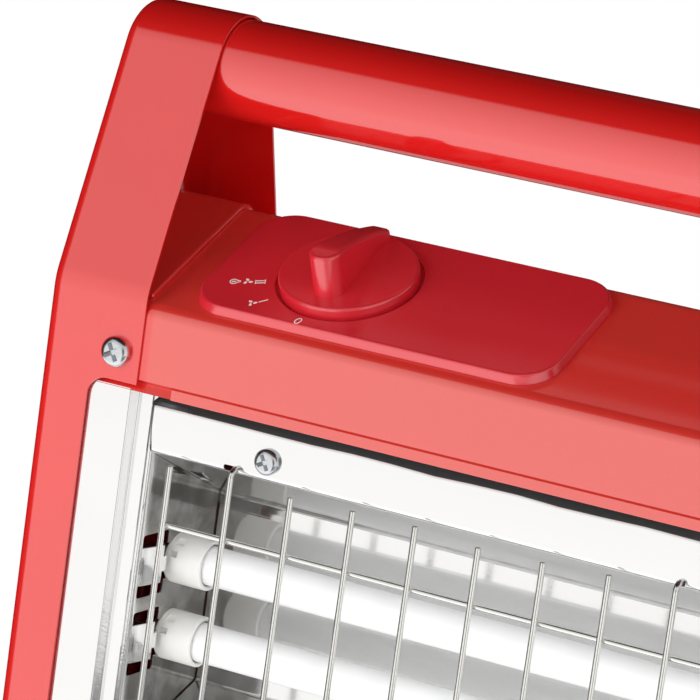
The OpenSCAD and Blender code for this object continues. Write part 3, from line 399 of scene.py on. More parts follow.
def finish(piece, body, slot, *nodes, smooth=40.0):
    """Turns the faces out, shades them, gives the piece its finish and body, and hides the imported nodes it
    stands for
    """
    edit(piece)
    bpy.ops.mesh.select_mode(type="VERT")
    all_out()
    leave()
    shape = bmesh.new()
    shape.from_mesh(piece.data)
    solid = shape.calc_volume(signed=True)
    shape.free()
    if solid <= 0:
        raise RuntimeError(piece.name + " is inside out")
    pick(piece)
    bpy.ops.object.shade_smooth_by_angle(angle=radians(smooth))
    apply(piece, "WEIGHTED_NORMAL", mode="FACE_AREA", weight=100, keep_sharp=True)
    dress(piece, slot)
    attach(piece, body)
    if nodes:
        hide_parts(*nodes)
    leave()


def finish_pair(piece, twin_name, mirror, slot, *nodes, smooth=40.0):
    """Mirrors a piece of the case and finishes both"""
    twin = copied(piece, twin_name, mirror)
    finish(piece, "case", slot, *nodes[:1], smooth=smooth)
    finish(twin, "case", slot, *nodes[1:], smooth=smooth)


def folded(name, line, bends, low, high, t, inward, axis="X"):
    """A bent sheet: a strip drawn edge by edge along a line, its folds rounded, then given its thickness.
    The line is (y, z) for a strip along x, or (x, y) for one along z. Bends are radii on the line."""
    flat = (1, 2) if axis == "X" else (0, 1)

    def place(point, run):
        return Vector((run, *point)) if axis == "X" else Vector((*point, run))

    def on(point):
        """A test for the edge that stands on a point of the line"""
        def test(edge):
            gaps = [(Vector([v.co[k] for k in flat]) / MM - Vector(point)).length for v in edge.verts]
            return max(gaps) < 0.01
        return test

    a, b = Vector(line[0]), Vector(line[1])
    middle = place((a + b) / 2, (low + high) / 2)
    lie = atan2(b.y - a.y, b.x - a.x)
    if axis == "X":
        size, lean = (high - low, (b - a).length, 1), (lie, 0, 0)
    else:
        size, lean = ((b - a).length, high - low, 1), (pi / 2, 0, lie)
    leave()
    bpy.ops.mesh.primitive_plane_add(size=1, location=middle * MM, rotation=lean)
    piece = opened(name, Vector(size) * MM)
    for p, q in zip(line[1:], line[2:]):
        choose("EDGE", on(p))
        pull(*(place(q, 0) - place(p, 0)))
    for i in range(1, len(line) - 1):
        if bends[i]:
            before = Vector(line[i]) - Vector(line[i - 1])
            after = Vector(line[i + 1]) - Vector(line[i])
            choose("EDGE", on(line[i]))
            bevel(bends[i] * tan(abs(before.angle_signed(after)) / 2), 6)
    leave()
    first = min(piece.data.polygons, key=lambda f: (f.center / MM - middle).length)
    side = Vector(first.normal)
    thicken(piece, t, 1.0 if side.dot(Vector(inward)) > 0 else -1.0)
    return piece


def softened(node_name, name, width, slot, segments=2):
    """A copy of one of the case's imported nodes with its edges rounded"""
    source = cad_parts[node_name]
    leave()
    copy = source.copy()
    copy.data = source.data.copy()
    for key in list(copy.keys()):
        del copy[key]
    copy.parent = None
    rename(copy, name)
    bpy.context.scene.collection.objects.link(copy)
    edit(copy)
    weld()
    bpy.ops.mesh.dissolve_limited(angle_limit=radians(0.5))
    round_edges(copy, width, segments, 35)
    finish(copy, "case", slot, node_name)


# Finishes

def connect(tree, value, socket):
    """Links a socket, or sets a plain value on it"""
    if isinstance(value, bpy.types.NodeSocket):
        tree.links.new(value, socket)
    else:
        socket.default_value = value


def node(tree, kind, inputs=None, **values):
    made = tree.nodes.new("ShaderNode" + kind)
    for key, value in values.items():
        setattr(made, key, value)
    for key, value in (inputs or {}).items():
        connect(tree, value, made.inputs[key])
    return made


def blend(tree, factor, a, b):
    """Mixes two colours"""
    made = node(tree, "Mix", {0: factor}, data_type="RGBA")
    connect(tree, a, made.inputs[6])
    connect(tree, b, made.inputs[7])
    return made.outputs[2]


def reckon(tree, how, *values):
    """One step of arithmetic"""
    return node(tree, "Math", dict(enumerate(values)), operation=how).outputs[0]


def product(tree, value, *others):
    for other in others:
        value = reckon(tree, "MULTIPLY", value, other)
    return value


def ramp(tree, value, start, stop, low=0.0, high=1.0, **how):
    """Carries the stretch from start to stop over to low and high, and holds its ends"""
    inputs = {"Value": value, "From Min": start, "From Max": stop, "To Min": low, "To Max": high}
    return node(tree, "MapRange", inputs, **how).outputs[0]


def spread(tree, value, low, high):
    return ramp(tree, value, 0.0, 1.0, low, high)


def noise(tree, where, scale, detail):
    return node(tree, "TexNoise", {"Vector": where, "Scale": scale, "Detail": detail}).outputs[0]


def own_place(tree):
    return node(tree, "TexCoord").outputs["Object"]


def split(tree, vector):
    return node(tree, "SeparateXYZ", {0: vector}).outputs


def towards(tree, way, direction):
    """How far a way points in a direction"""
    return node(tree, "VectorMath", {0: way, 1: direction}, operation="DOT_PRODUCT").outputs["Value"]


def new_group(name, inputs, outputs):
    group = bpy.data.node_groups.new(name, "ShaderNodeTree")
    for label, default in inputs:
        socket = group.interface.new_socket(label, in_out="INPUT", socket_type="NodeSocketFloat")
        socket.default_value = default
    for label in outputs:
        group.interface.new_socket(label, in_out="OUTPUT", socket_type="NodeSocketFloat")
    return group, group.nodes.new("NodeGroupInput").outputs, group.nodes.new("NodeGroupOutput").inputs


def skin_group():
    """Fine bumps and broad patches of a coat or a moulded surface"""
    group, given, out = new_group("skin", (("Fine Scale", 900.0), ("Broad Scale", 18.0)), ("Fine", "Broad"))
    where = own_place(group)
    group.links.new(noise(group, where, given[0], 2.0), out[0])
    group.links.new(noise(group, where, given[1], 3.0), out[1])
    return group


# Stretch of the rolled lines and of the slow waves along x, y and z
LINE_STRETCH = (14.0, 1400.0, 1400.0)
WAVE_STRETCH = (9.0, 26.0, 26.0)


def roll_group():
    """Lines and slow waves of rolled sheet, along x"""
    group, given, out = new_group("roll", (("Line Scale", 1.0), ("Wave Scale", 1.0)), ("Lines", "Waves"))
    where = own_place(group)
    for k, (stretch, detail) in enumerate(((LINE_STRETCH, 3.0), (WAVE_STRETCH, 1.0))):
        stretched = node(group, "Mapping", {"Vector": where, "Scale": stretch}).outputs[0]
        group.links.new(noise(group, stretched, given[k], detail), out[k])
    return group


# Where dust and a painted pale sheen lie: the part of a face that looks up or to the front, and places in
# metres on the cover's front
DUST_AND_SHEEN_UP = (0.3, 1.0)
DUST_AND_SHEEN_FRONT = (-0.5, -0.95)
DUST_AND_SHEEN_HALF_W = (0.1715, 0.17)
DUST_AND_SHEEN_TOP = (0.378, 0.371)
DUST_AND_SHEEN_PATCH = (0.42, 0.58)
CLEAR_TOP_Z = (0.402, 0.41)


def dust_and_sheen_group():
    """Dust settled thin and patchy where a face looks up or on the cover's front, kept off the handle, and
    with it a painted pale sheen of reflected light
    """
    group, given, out = new_group("dust", (("Amount", 0.1), ("Patch Scale", 60.0)), ("Mask",))
    where = own_place(group)
    place = split(group, where)
    look = split(group, node(group, "NewGeometry").outputs["Normal"])
    across = ramp(group, reckon(group, "ABSOLUTE", place[0]), *DUST_AND_SHEEN_HALF_W)
    under = ramp(group, place[2], *DUST_AND_SHEEN_TOP)
    front = product(group, ramp(group, look[1], *DUST_AND_SHEEN_FRONT), across, under)
    facing = reckon(group, "MAXIMUM", ramp(group, look[2], *DUST_AND_SHEEN_UP), front)
    patch = spread(group, noise(group, where, given[1], 6.0), *DUST_AND_SHEEN_PATCH)
    clear_top = ramp(group, place[2], *CLEAR_TOP_Z, 1.0, 0.0)
    # The mask carries dust and a painted pale sheen of reflected light together
    group.links.new(product(group, facing, patch, clear_top, given[0]), out[0])
    return group


GROUPS = {"skin": skin_group, "roll": roll_group, "dust": dust_and_sheen_group}


def use(tree, name, **values):
    """Places a shared effect in a finish, with its own values"""
    made = node(tree, "Group", node_tree=bpy.data.node_groups.get(name) or GROUPS[name]())
    for key, value in values.items():
        made.inputs[key.replace("_", " ").title()].default_value = value
    return made.outputs


def rgba(shade, gain=1.0):
    return (*(min(1.0, c * gain) for c in shade), 1.0)


def new_finish(name):
    made = bpy.data.materials.new(name)
    made.use_nodes = True
    return made, made.node_tree, made.node_tree.nodes["Principled BSDF"]


def set_shader(tree, shader, **values):
    """Links or sets the shader's sockets, named with _ for a space"""
    for key, value in values.items():
        connect(tree, value, shader.inputs[key.replace("_", " ")])


def bump(tree, height, strength, distance):
    return node(tree, "Bump", {"Height": height, "Strength": strength, "Distance": distance}).outputs[0]


BROAD_SCALE = 16.0
DUST_AND_SHEEN_SCALE = 1800.0
COAT_BUMP = 0.0002
METAL_BUMP = 0.001


def coat_finish(name, colours, shade, deep, fine, rough, peel, dust, ior):
    """A painted or moulded surface: patchy tone, fine bumps, and a little dust that also paints a pale sheen
    of reflected light.
    Deep is the second tone, a colour by name or a share of the first."""
    tree, shader = new_finish(name)[1:]
    first = getattr(colours, shade)
    second = rgba(first, deep) if isinstance(deep, float) else rgba(getattr(colours, deep))
    skin = use(tree, "skin", fine_scale=fine, broad_scale=BROAD_SCALE)
    # Dust mixed with a painted pale sheen of reflected light, where faces look up and on the cover's front
    dust_and_sheen_mask = use(tree, "dust", amount=dust, patch_scale=DUST_AND_SHEEN_SCALE)
    tone = blend(tree, skin["Broad"], rgba(first), second)
    set_shader(tree, shader, Base_Color=blend(tree, dust_and_sheen_mask["Mask"], tone, rgba(colours.dust)),
               Roughness=spread(tree, skin["Broad"], *rough), IOR=ior,
               Normal=bump(tree, skin["Fine"], peel, COAT_BUMP))


# Where the end walls are darkened, as heat stain and as a painted dark reflection: distance from the middle
# and from the front, in metres, and the patches
DARKENED_WALL_X = (0.1684, 0.1688)
DARKENED_WALL_Y = (-0.0305, -0.027)
DARKENED_WALL_PATCH = (0.35, 0.6, 0.55, 1.0)
DARKENED_WALL_SCALE, DARKENED_WALL_DETAIL = 90.0, 5.0


def heat_stain_and_dark_reflection(tree):
    """Where the end walls beside the tubes are darkened, by heat stain and a painted dark reflection, in soft
    patches
    """
    where = own_place(tree)
    place = split(tree, where)
    wall = ramp(tree, reckon(tree, "ABSOLUTE", place[0]), *DARKENED_WALL_X)
    inside = ramp(tree, place[1], *DARKENED_WALL_Y)
    patch = ramp(tree, noise(tree, where, DARKENED_WALL_SCALE, DARKENED_WALL_DETAIL), *DARKENED_WALL_PATCH)
    return product(tree, wall, inside, patch)


def metal_finish(name, colours, shade, rough, lines, waves=0.0, tint=0.9, metallic=1.0, stain_and_dark_reflection=None):
    """A bright or plated metal with rolled lines and slow waves"""
    tree, shader = new_finish(name)[1:]
    first = getattr(colours, shade)
    roll = use(tree, "roll", line_scale=1.0, wave_scale=1.0)
    tone = blend(tree, roll["Waves"], rgba(first), rgba(first, tint))
    # Heat stain with a painted dark reflection on the inner end walls
    if stain_and_dark_reflection:
        tone = blend(tree, heat_stain_and_dark_reflection(tree), tone, rgba(getattr(colours, stain_and_dark_reflection)))
    height = reckon(tree, "ADD", product(tree, roll["Lines"], lines), product(tree, roll["Waves"], waves))
    set_shader(tree, shader, Base_Color=tone, Roughness=spread(tree, roll["Lines"], *rough),
               Metallic=metallic, Normal=bump(tree, height, 1.0, METAL_BUMP))


def quartz_finish(name, colours, shade, tint, rough, draw, ior):
    """Frosted quartz: milky, with faint draw lines"""
    tree, shader = new_finish(name)[1:]
    first = getattr(colours, shade)
    roll = use(tree, "roll", line_scale=0.6, wave_scale=2.0)
    set_shader(tree, shader, Base_Color=blend(tree, roll["Waves"], rgba(first), rgba(first, tint)),
               Roughness=spread(tree, roll["Lines"], *rough), IOR=ior,
               Normal=bump(tree, roll["Lines"], draw, COAT_BUMP))


# For each slot the name of its colour, and what else its maker takes
# The dust share in each coat also paints a pale sheen of reflected light
COATS = {
    "red_paint": ("paint", dict(deep="paint_deep", fine=1500.0, rough=(0.06, 0.11), peel=0.03,
                                dust=0.13, ior=2.2)),
    "dial_plastic": ("dial", dict(deep=0.88, fine=2600.0, rough=(0.15, 0.22), peel=0.06, dust=0.02, ior=2.0)),
    "mark_print": ("mark", dict(deep=0.92, fine=3000.0, rough=(0.4, 0.5), peel=0.05, dust=0.0, ior=1.45)),
    "black_plastic": ("black", dict(deep=1.6, fine=1800.0, rough=(0.42, 0.55), peel=0.22,
                                    dust=0.12, ior=1.5)),
    "white_plastic": ("white", dict(deep=0.93, fine=2000.0, rough=(0.35, 0.45), peel=0.1,
                                    dust=0.05, ior=1.48)),
    "white_ceramic": ("ceramic", dict(deep=0.95, fine=1300.0, rough=(0.3, 0.42), peel=0.12,
                                      dust=0.0, ior=1.5)),
    "pad_rubber": ("rubber", dict(deep=1.5, fine=2200.0, rough=(0.65, 0.8), peel=0.3, dust=0.15, ior=1.48)),
    "wire_sheath": ("sheath", dict(deep="sheath_deep", fine=2600.0, rough=(0.45, 0.6), peel=0.3,
                                   dust=0.0, ior=1.45)),
}
METALS = {
    # The bright sheet's inner end walls take the heat stain, which also paints a dark reflection
    "bright_sheet": ("bright", dict(rough=(0.05, 0.12), lines=0.012, waves=0.35, tint=0.92, metallic=0.94,
                                    stain_and_dark_reflection="stain_and_dark_reflection")),
    "guard_wire": ("wire", dict(rough=(0.1, 0.18), lines=0.01)),
    "screw_steel": ("screw", dict(rough=(0.16, 0.26), lines=0.02)),
    "zinc_steel": ("zinc", dict(rough=(0.3, 0.45), lines=0.06, waves=0.1, tint=0.8)),
    "heating_wire": ("coil", dict(rough=(0.35, 0.5), lines=0.08, tint=0.8)),
    "copper_wire": ("copper", dict(rough=(0.25, 0.38), lines=0.08, tint=0.8)),
}
GLASSES = {
    "quartz": ("quartz", dict(tint=0.93, rough=(0.3, 0.42), draw=0.06, ior=1.46)),
}
made_finishes = set()


def finish_of(slot):
    """The finish for one of the slots, made when it is first asked for"""
    if slot not in made_finishes:
        packed = bpy.data.materials.get(slot)
        if packed:
            packed.name = slot + "_packed"
        for maker, table in ((coat_finish, COATS), (metal_finish, METALS), (quartz_finish, GLASSES)):
            if slot in table:
                shade, values = table[slot]
                maker(slot, bpy.context.scene.heater_colours, shade, **values)
        made_finishes.add(slot)
    return bpy.data.materials[slot]


# Pieces

def make_end_panels(size):
    """A pressed pan with a round top: outline, face, flange, rounded bend, thickness, cut flange"""
    kink_r, flange = 3.0, 33.0
    cut_x, cut_low, cut_high = -189, 39.1, 348.9
    left = ring("left_end_panel_sheet", (-HALF_W, 0, HANDLE_Z), ARM_R, "X", 120)
    choose("VERT", lambda v: at(v).z < HANDLE_Z + ARM_R * sin(ARM_LEAN) - 0.4)
    bpy.ops.mesh.delete(type="VERT")
    for side in SIDES:
        choose("VERT", lambda v: len(v.link_edges) == 1 and at(v).y * side > 0)
        draw_to(-HALF_W, side * HALF_D, KINK_Z)
        draw_to(-HALF_W, side * HALF_D, BASE_Z)
    fill(lambda v: near(at(v).z, BASE_Z))
    choose("VERT", lambda v: near(at(v).z, KINK_Z))
    bevel(kink_r, 5, "VERTICES")
    choose("EDGE", lambda e: not near(at(e).z, BASE_Z))
    pull(flange)
    choose("EDGE", lambda e: all(near(v.co.x / MM, -HALF_W) for v in e.verts) and not near(at(e).z, BASE_Z))
    bevel(size.end_bend / MM, 8)
    all_out()
    thicken(left, size.sheet)
    notch = block("notch", (cut_x, -60, cut_low), (-160, 60, cut_high))
    choose("EDGE", lambda e: near(at(e).x, cut_x) and runs(e, "Y"))
    bevel(size.notch_r / MM, 8)
    cut(left, notch)
    round_edges(left, size.edge, 2, 50)
    finish_pair(left, "right_end_panel_sheet", MIRROR_X, "red_paint", "left_end_panel", "right_end_panel")


def bare_inside(piece, middle):
    """Leaves the inner side of a coated sheet as bare plated steel"""
    piece.data.materials.append(finish_of("zinc_steel"))
    edit(piece)
    choose("FACE", lambda f: f.normal.dot(f.calc_center_median() - middle) < 0)
    piece.active_material_index = 1
    bpy.ops.object.material_slot_assign()
    leave()


def make_cover(size, back_edge, fall):
    """The top cover, whose front lip is set back at both ends"""
    lip_low, lip_high, front_low, skirt_low = 347.0, 350.0, 350.6, 346.5
    lip_bend, fall_bend = 0.2, 3.8
    cover = folded("top_cover_sheet",
                   [(LIP_Y, lip_low), (LIP_Y, lip_high), (FRONT_Y, front_low), (FRONT_Y, DECK_Z), back_edge,
                    fall, (BACK_Y, skirt_low)],
                   [0, lip_bend, lip_bend, size.deck_front / MM, size.deck_back / MM, fall_bend, 0],
                   -COVER_HALF, COVER_HALF, size.sheet, (0, 1, 0))
    edit(cover)
    lip_end, lip_top = 161.6, 350.3
    for x in (-161.7, -161.4, 161.4, 161.7):
        slice_at(spot(x, 0, 0), (1, 0, 0))
    for low, step in ((0.0, 1.0), (349.2, 1.8)):
        choose("VERT", lambda v: abs(at(v).x) > lip_end and at(v).y < -30 and low < at(v).z < lip_top)
        shift(y=step)
    round_edges(cover, size.edge, 2, 50)
    finish(cover, "case", "red_paint", "top_cover", smooth=25)
    bare_inside(cover, spot(0, 0, 352))


def make_deck_bands(size, back_edge, fall):
    """The raised bands at the deck's ends"""
    high, thick, inner_x = 1.5, 1.8, -173.4
    from_front, past_back = 4.0, 14.0
    slope = Vector((cos(DECK_TILT), sin(DECK_TILT)))
    drop = (Vector(fall) - Vector(back_edge)).normalized()
    lift = high * Vector((-slope.y, slope.x))
    start = Vector((FRONT_Y, DECK_Z)) + from_front * slope + lift
    corner = Vector(back_edge) + high * tan(slope.angle(drop) / 2) * slope + lift
    stop = Vector(back_edge) + past_back * drop + high * Vector((-drop.y, drop.x))
    band = folded("left_deck_band", [start, corner, stop], [0, size.deck_back / MM + high, 0],
                  -COVER_HALF, inner_x, thick * MM, (0, sin(DECK_TILT), -cos(DECK_TILT)))
    round_edges(band, 0.0008, 4, 50)
    finish_pair(band, "right_deck_band", MIRROR_X, "red_paint")


def make_case_sheets(size):
    """Top cover with its end bands, base pan and back panel"""
    back_edge = (FRONT_Y + DECK_L * cos(DECK_TILT), DECK_Z + DECK_L * sin(DECK_TILT))
    fall = (BACK_Y, back_edge[1] - 37.2)
    make_cover(size, back_edge, fall)
    make_deck_bands(size, back_edge, fall)
    skirt_high, front_high, lip_low, lip_high = 41.5, 37.4, 38.0, 41.0
    base_bend, lip_bend = 2.8, 0.2
    base = folded("base_pan_sheet",
                  [(BACK_Y, skirt_high), (BACK_Y, BASE_Z), (FRONT_Y, BASE_Z), (FRONT_Y, front_high),
                   (LIP_Y, lip_low), (LIP_Y, lip_high)],
                  [0, base_bend, base_bend, lip_bend, lip_bend, 0],
                  -COVER_HALF, COVER_HALF, size.sheet, (0, -1, 0))
    round_edges(base, size.edge, 2, 50)
    finish(base, "case", "red_paint", "base_pan")
    softened("back_panel", "back_panel_sheet", 0.00025, "red_paint")


def make_handle(size):
    """The carrying tube between the end panels"""
    tube_l = 404.6
    tube = bar("handle_bar", (0, 0, HANDLE_Z), size.handle / MM / 2, tube_l, "X", 96, "NOTHING")
    all_out()
    thicken(tube, size.tube_wall)
    round_edges(tube, size.edge, 2, 50)
    finish(tube, "case", "red_paint", "handle_tube")


def make_tube_plates(size):
    """The bright plates at each end of the troughs: a stepped strip, and a cheek with slots and bent tabs"""
    behind, step_bend = STRIP_Y + 3.6, 0.6
    strip_low, strip_high, plate_low, plate_high = 40.6, 347.4, 26.7, 361.3
    strip = folded("strip", [(-COVER_HALF, STRIP_Y), (-175.2, STRIP_Y), (-174.6, behind), (-169.8, behind)],
                   [0, step_bend, step_bend, 0], strip_low, strip_high, size.bright, (0, 1, 0), "Z")
    rim, cheek_bend, cheek_back = RIM_Y + 0.6, 3.2, 15.6
    plate = folded("left_tube_plate_sheet", [(-174.0, rim), (-CHEEK_X, rim), (-CHEEK_X, cheek_back)],
                   [0, cheek_bend, 0], plate_low, plate_high, size.bright, (0, 1, 0), "Z")
    front, bow = RIM_Y + 3.2, -CHEEK_X + 0.4
    slot_corner, neck_corner, tab_bend, tab_lean = 0.8, 5.3, 2.0, 0.12
    outer, inner = -CHEEK_X - 3, -CHEEK_X + 3
    slot_half, neck_half = 9.5, 5.5
    slots, necks, tabs = [], [], []
    for z in QUARTZ_Z:
        slots.append(block("slot", (outer, front, z - slot_half), (inner, QUARTZ_Y - 7.6, z + slot_half)))
        choose("EDGE", lambda e: runs(e, "X"))
        bevel(slot_corner, 3)
        necks.append(block("neck", (outer, front + 4, z - neck_half),
                           (inner, QUARTZ_Y + neck_half, z + neck_half)))
        choose("EDGE", lambda e: runs(e, "X") and at(e).y > QUARTZ_Y)
        bevel(neck_corner, 8)
        for half, reach in ((5.75, 10.2), (2.4, 11.8)):
            line = [(-CHEEK_X, front - 0.4), (bow, front + 1.4), (bow + reach * tab_lean, front + reach)]
            tab = folded("tab", line, [0, tab_bend, 0], z - half, z + half, size.bright, (-1, 0, 0), "Z")
            round_edges(tab, 0.0005, 3, 60)
            tabs.append(tab)
    cut(plate, joined("slots", slots))
    cut(plate, joined("necks", necks))
    left = joined("left_tube_plate_sheet", [*tabs, strip, plate])
    finish_pair(left, "right_tube_plate_sheet", MIRROR_X, "bright_sheet", "left_tube_plate",
                "right_tube_plate", smooth=30)


def make_reflectors(size):
    """The upper trough with its flanges, the top one curled back, and the lower one as its mirror image"""
    bend, stations = 1.6, 26
    upper = folded("upper_reflector_sheet",
                   [(RIM_Y, 221.8), (RIM_Y, 235.8), (TROUGH_Y, 253.5), (TROUGH_Y, 312.1), (RIM_Y, 329.8),
                    (RIM_Y, 343.0), (-28.4, 347.8)],
                   [0, bend, bend, bend, bend, bend, 0],
                   -REFLECTOR_HALF, REFLECTOR_HALF, size.bright, (0, 1, 0))
    edit(upper)
    for k in range(1, stations):
        x = REFLECTOR_HALF * (2 * k / stations - 1)
        slice_at(spot(x, 0, 0), (1, 0, 0))
        choose("VERT", lambda v: near(at(v).x, x, 0.05) and at(v).z > 341.5)
        shift(z=0.3 * sin(1.7 * k) + 0.2 * sin(4.1 * k + 1.0))
    wider, hook_low, hook_high = 1.6, 329.9, 331.5
    for side in SIDES:
        choose("VERT", lambda v: at(v).x * side > REFLECTOR_HALF - 0.1 and at(v).z > 331.2)
        shift(x=side * wider)
    cutters = []
    for x, (before, after) in zip(HOOK_XS, ((4.4, 0.6), (1.2, 1.2), (0.6, 4.4))):
        cutters.append(block("slot", (x - before, -36, hook_low), (x + after, -30.7, hook_high)))
        choose("EDGE", lambda e: runs(e, "Y"))
        bevel(0.6, 3)
    tongues = []
    for side in SIDES:
        x = side * LANCE_X
        cutters.append(block("slot", (x - 1.5, -12.5, 310), (x + 1.5, -2.0, 330)))
        tongues.append(folded("tongue", [(-9.0, 319.4), (-3.4, 318.2)], [0, 0], x - 0.7, x + 0.7, size.bright,
                              (0, 0, 1)))
    cut(upper, joined("slots", cutters))
    upper = joined("upper_reflector_sheet", [*tongues, upper])
    finish_pair(upper, "lower_reflector_sheet", MIRROR_Z, "bright_sheet", "upper_reflector",
                "lower_reflector", smooth=30)


def hooked_wire(r):
    """An upright in the middle, bent back into a hook at both ends"""
    hook_z, bend, reach, tip_r = 331.0, 2.4, 7.0, 0.5
    wire = ring("wire", (0, WIRE_Y, MID_Z), r, "Z", 14)
    choose_all()
    pull(z=hook_z - bend - MID_Z)
    choose("VERT", lambda v: at(v).z > hook_z - bend - 0.1)
    bpy.ops.mesh.spin(steps=6, angle=pi / 2, center=spot(0, WIRE_Y + bend, hook_z - bend), axis=(1, 0, 0))
    choose("EDGE", lambda e: near(at(e).y, WIRE_Y + bend, 0.05) and at(e).z > hook_z - 1.2
           and abs(along(e).y) < 0.3)
    pull(y=reach - bend)
    bpy.ops.mesh.edge_face_add()
    choose("EDGE", lambda e: near(at(e).y, WIRE_Y + reach, 0.05))
    bevel(tip_r, 3)
    weld()
    wire = joined("wire", [copied(wire, "wire", MIRROR_Z), wire])
    edit(wire)
    weld()
    all_out()
    return wire


def make_guard(size):
    """Uprights, three of them hooked at both ends, welded to four cross wires"""
    r = size.wire / MM / 2
    upright_l, cross_l, tip_r = 267.8, 322.0, 0.5
    first_x = -8 * WIRE_PITCH

    def rounded_bar(middle, l, axis):
        wire = bar("wire", middle, r, l, axis, 14)
        way = "XYZ".index(axis)
        choose("EDGE", lambda e: abs(at(e)[way] - middle[way]) > l / 2 - 0.05)
        bevel(tip_r, 3)
        return wire

    plain = rounded_bar((first_x, WIRE_Y, MID_Z), upright_l, "Z")
    wires = [plain]
    ends = (0.0, -0.2, 0.5, 0.7, -0.7, -0.2, 1.0, 0.3)
    for k in range(-7, 9):
        if WIRE_PITCH * k not in HOOK_XS:
            wire = copied(plain, "wire", to(WIRE_PITCH * k - first_x, 0, 0))
            edit(wire)
            choose("VERT", lambda v: at(v).z > MID_Z)
            shift(z=ends[k + 7] if k < 0 else ends[(k + 8) * 5 % 8])
            choose("VERT", lambda v: at(v).z < MID_Z)
            shift(z=ends[(k + 8) * 3 % 8])
            wires.append(wire)
    hooked = hooked_wire(r)
    wires += [copied(hooked, "wire", to(x, 0, 0)) for x in HOOK_XS[1:]]
    moved(hooked, to(HOOK_XS[0], 0, 0))
    wires.append(hooked)
    wires += [rounded_bar((0, WIRE_Y + 1.6, z), cross_l, "X") for z in CROSS_WIRE_Z]
    finish(joined("guard_wires", wires), "case", "guard_wire", "wire_guard", smooth=50)


def make_tubes(size):
    """Frosted tubes and their ceramic caps"""
    z = QUARTZ_Z[0]
    tube_l, neck_r, neck_l, head_l, mouth_l, mouth_wall = 326.6, 5.2, 1.3, 4.0, 5.5, 1.3
    tube = bar("quartz_1", (0, QUARTZ_Y, z), size.quartz / MM / 2, tube_l, "X", 40, "NOTHING")
    all_out()
    thicken(tube, size.tube_wall)
    r = size.cap / MM / 2
    inner, outer = 157.3, REFLECTOR_HALF + 1.2
    cap = bar("left_ceramic_1", (-(inner + outer) / 2, QUARTZ_Y, z), r, outer - inner, "X", 48)
    choose("FACE", lambda f: f.normal.x < -ALONG)
    inset(r - neck_r)
    pull(x=-neck_l)
    # A hair's breadth, from which the head widens again behind the neck
    pull(x=-0.001)
    choose("FACE", lambda f: f.normal.x < -ALONG and at(f).x < -outer - neck_l + 0.01)
    pull(x=-head_l)
    choose("FACE", lambda f: near(at(f).x, -outer - neck_l - head_l / 2, 0.2) and abs(f.normal.x) < 0.1)
    bpy.ops.transform.shrink_fatten(value=-(r - neck_r) * MM)
    choose("FACE", lambda f: f.normal.x > ALONG and near(at(f).x, -inner))
    inset(mouth_wall)
    pull(x=-mouth_l)
    round_edges(cap, 0.0005, 3, 40)
    pockets = [block("pocket", (-168.3, QUARTZ_Y - 9.0, z + 1.6), (-165.6, QUARTZ_Y - 5.4, z + 3.4)),
               block("pocket", (-167.3, QUARTZ_Y - 6.4, z + 5.0), (-164.6, QUARTZ_Y - 3.4, z + 9.0))]
    cut(cap, joined("pockets", pockets))
    for k, z in enumerate(QUARTZ_Z, 1):
        down = to(0, 0, z - QUARTZ_Z[0])
        if k > 1:
            finish(copied(tube, f"quartz_{k}", down), "case", "quartz", f"quartz_tube_{k}")
            finish(copied(cap, f"left_ceramic_{k}", down), "case", "white_ceramic", f"left_cap_{k}")
        finish(copied(cap, f"right_ceramic_{k}", MIRROR_X @ down), "case", "white_ceramic", f"right_cap_{k}")
    finish(tube, "case", "quartz", "quartz_tube_1")
    finish(cap, "case", "white_ceramic", "left_cap_1")


def make_control_panel(size):
    """The raised plate on the deck, with its recess for the knob and printed marks"""
    low, high = (-162.2, 4.0, 0.0), (-48.6, 55.0, PANEL_TOP)
    draft, top_r, knob_gap, recess_l = (1.014, 1.03, 1), 0.7, 1.0, 2.8
    plate = block("control_panel_plate", low, high)
    choose("VERT", lambda v: near(at(v).z, 0))
    bpy.ops.transform.resize(value=draft, center_override=(Vector(low) + Vector(high)) / 2 * MM)
    choose("EDGE", lambda e: runs(e, "Z"))
    bevel(size.panel_r / MM, 12)
    choose("EDGE", lambda e: near(at(e).z, PANEL_TOP) and level(e))
    bevel(top_r, 4)
    cut(plate, bar("recess", (KNOB_X, KNOB_S, PANEL_TOP), size.knob / MM / 2 + knob_gap, recess_l, "Z", 96))
    round_edges(plate, 0.0003, 2, 60)
    moved(plate, DECK)
    finish(plate, "case", "dial_plastic", "control_panel", smooth=35)
    make_marks()


def stroke(offset, w, h):
    """An upright line of print with round corners"""
    piece = block("mark", (offset - w / 2, -h / 2, -MARK_T), (offset + w / 2, h / 2, 0.0))
    choose("EDGE", lambda e: runs(e, "Z"))
    bevel(w * 0.35, 3)
    return piece


def outlined(piece, width):
    """Leaves a line of print along the outline of a flat shape"""
    choose_all()
    inset(width)
    bpy.ops.mesh.delete(type="FACE")
    thicken(piece, MARK_T * MM)
    return piece


def fan_sign():
    """Three small blades round a point"""
    blades = []
    for k in range(3):
        blade = ring("mark", (0, 0, 0), 0.42, "Z", 20, "NGON")
        choose_all()
        bpy.ops.transform.resize(value=(1.0, 1.5, 1.0))
        pull(z=-MARK_T)
        moved(blade, turn(k * 2 * pi / 3, "Z") @ to(0.3, 0.85, 0))
        blades.append(blade)
    return joined("mark", blades)


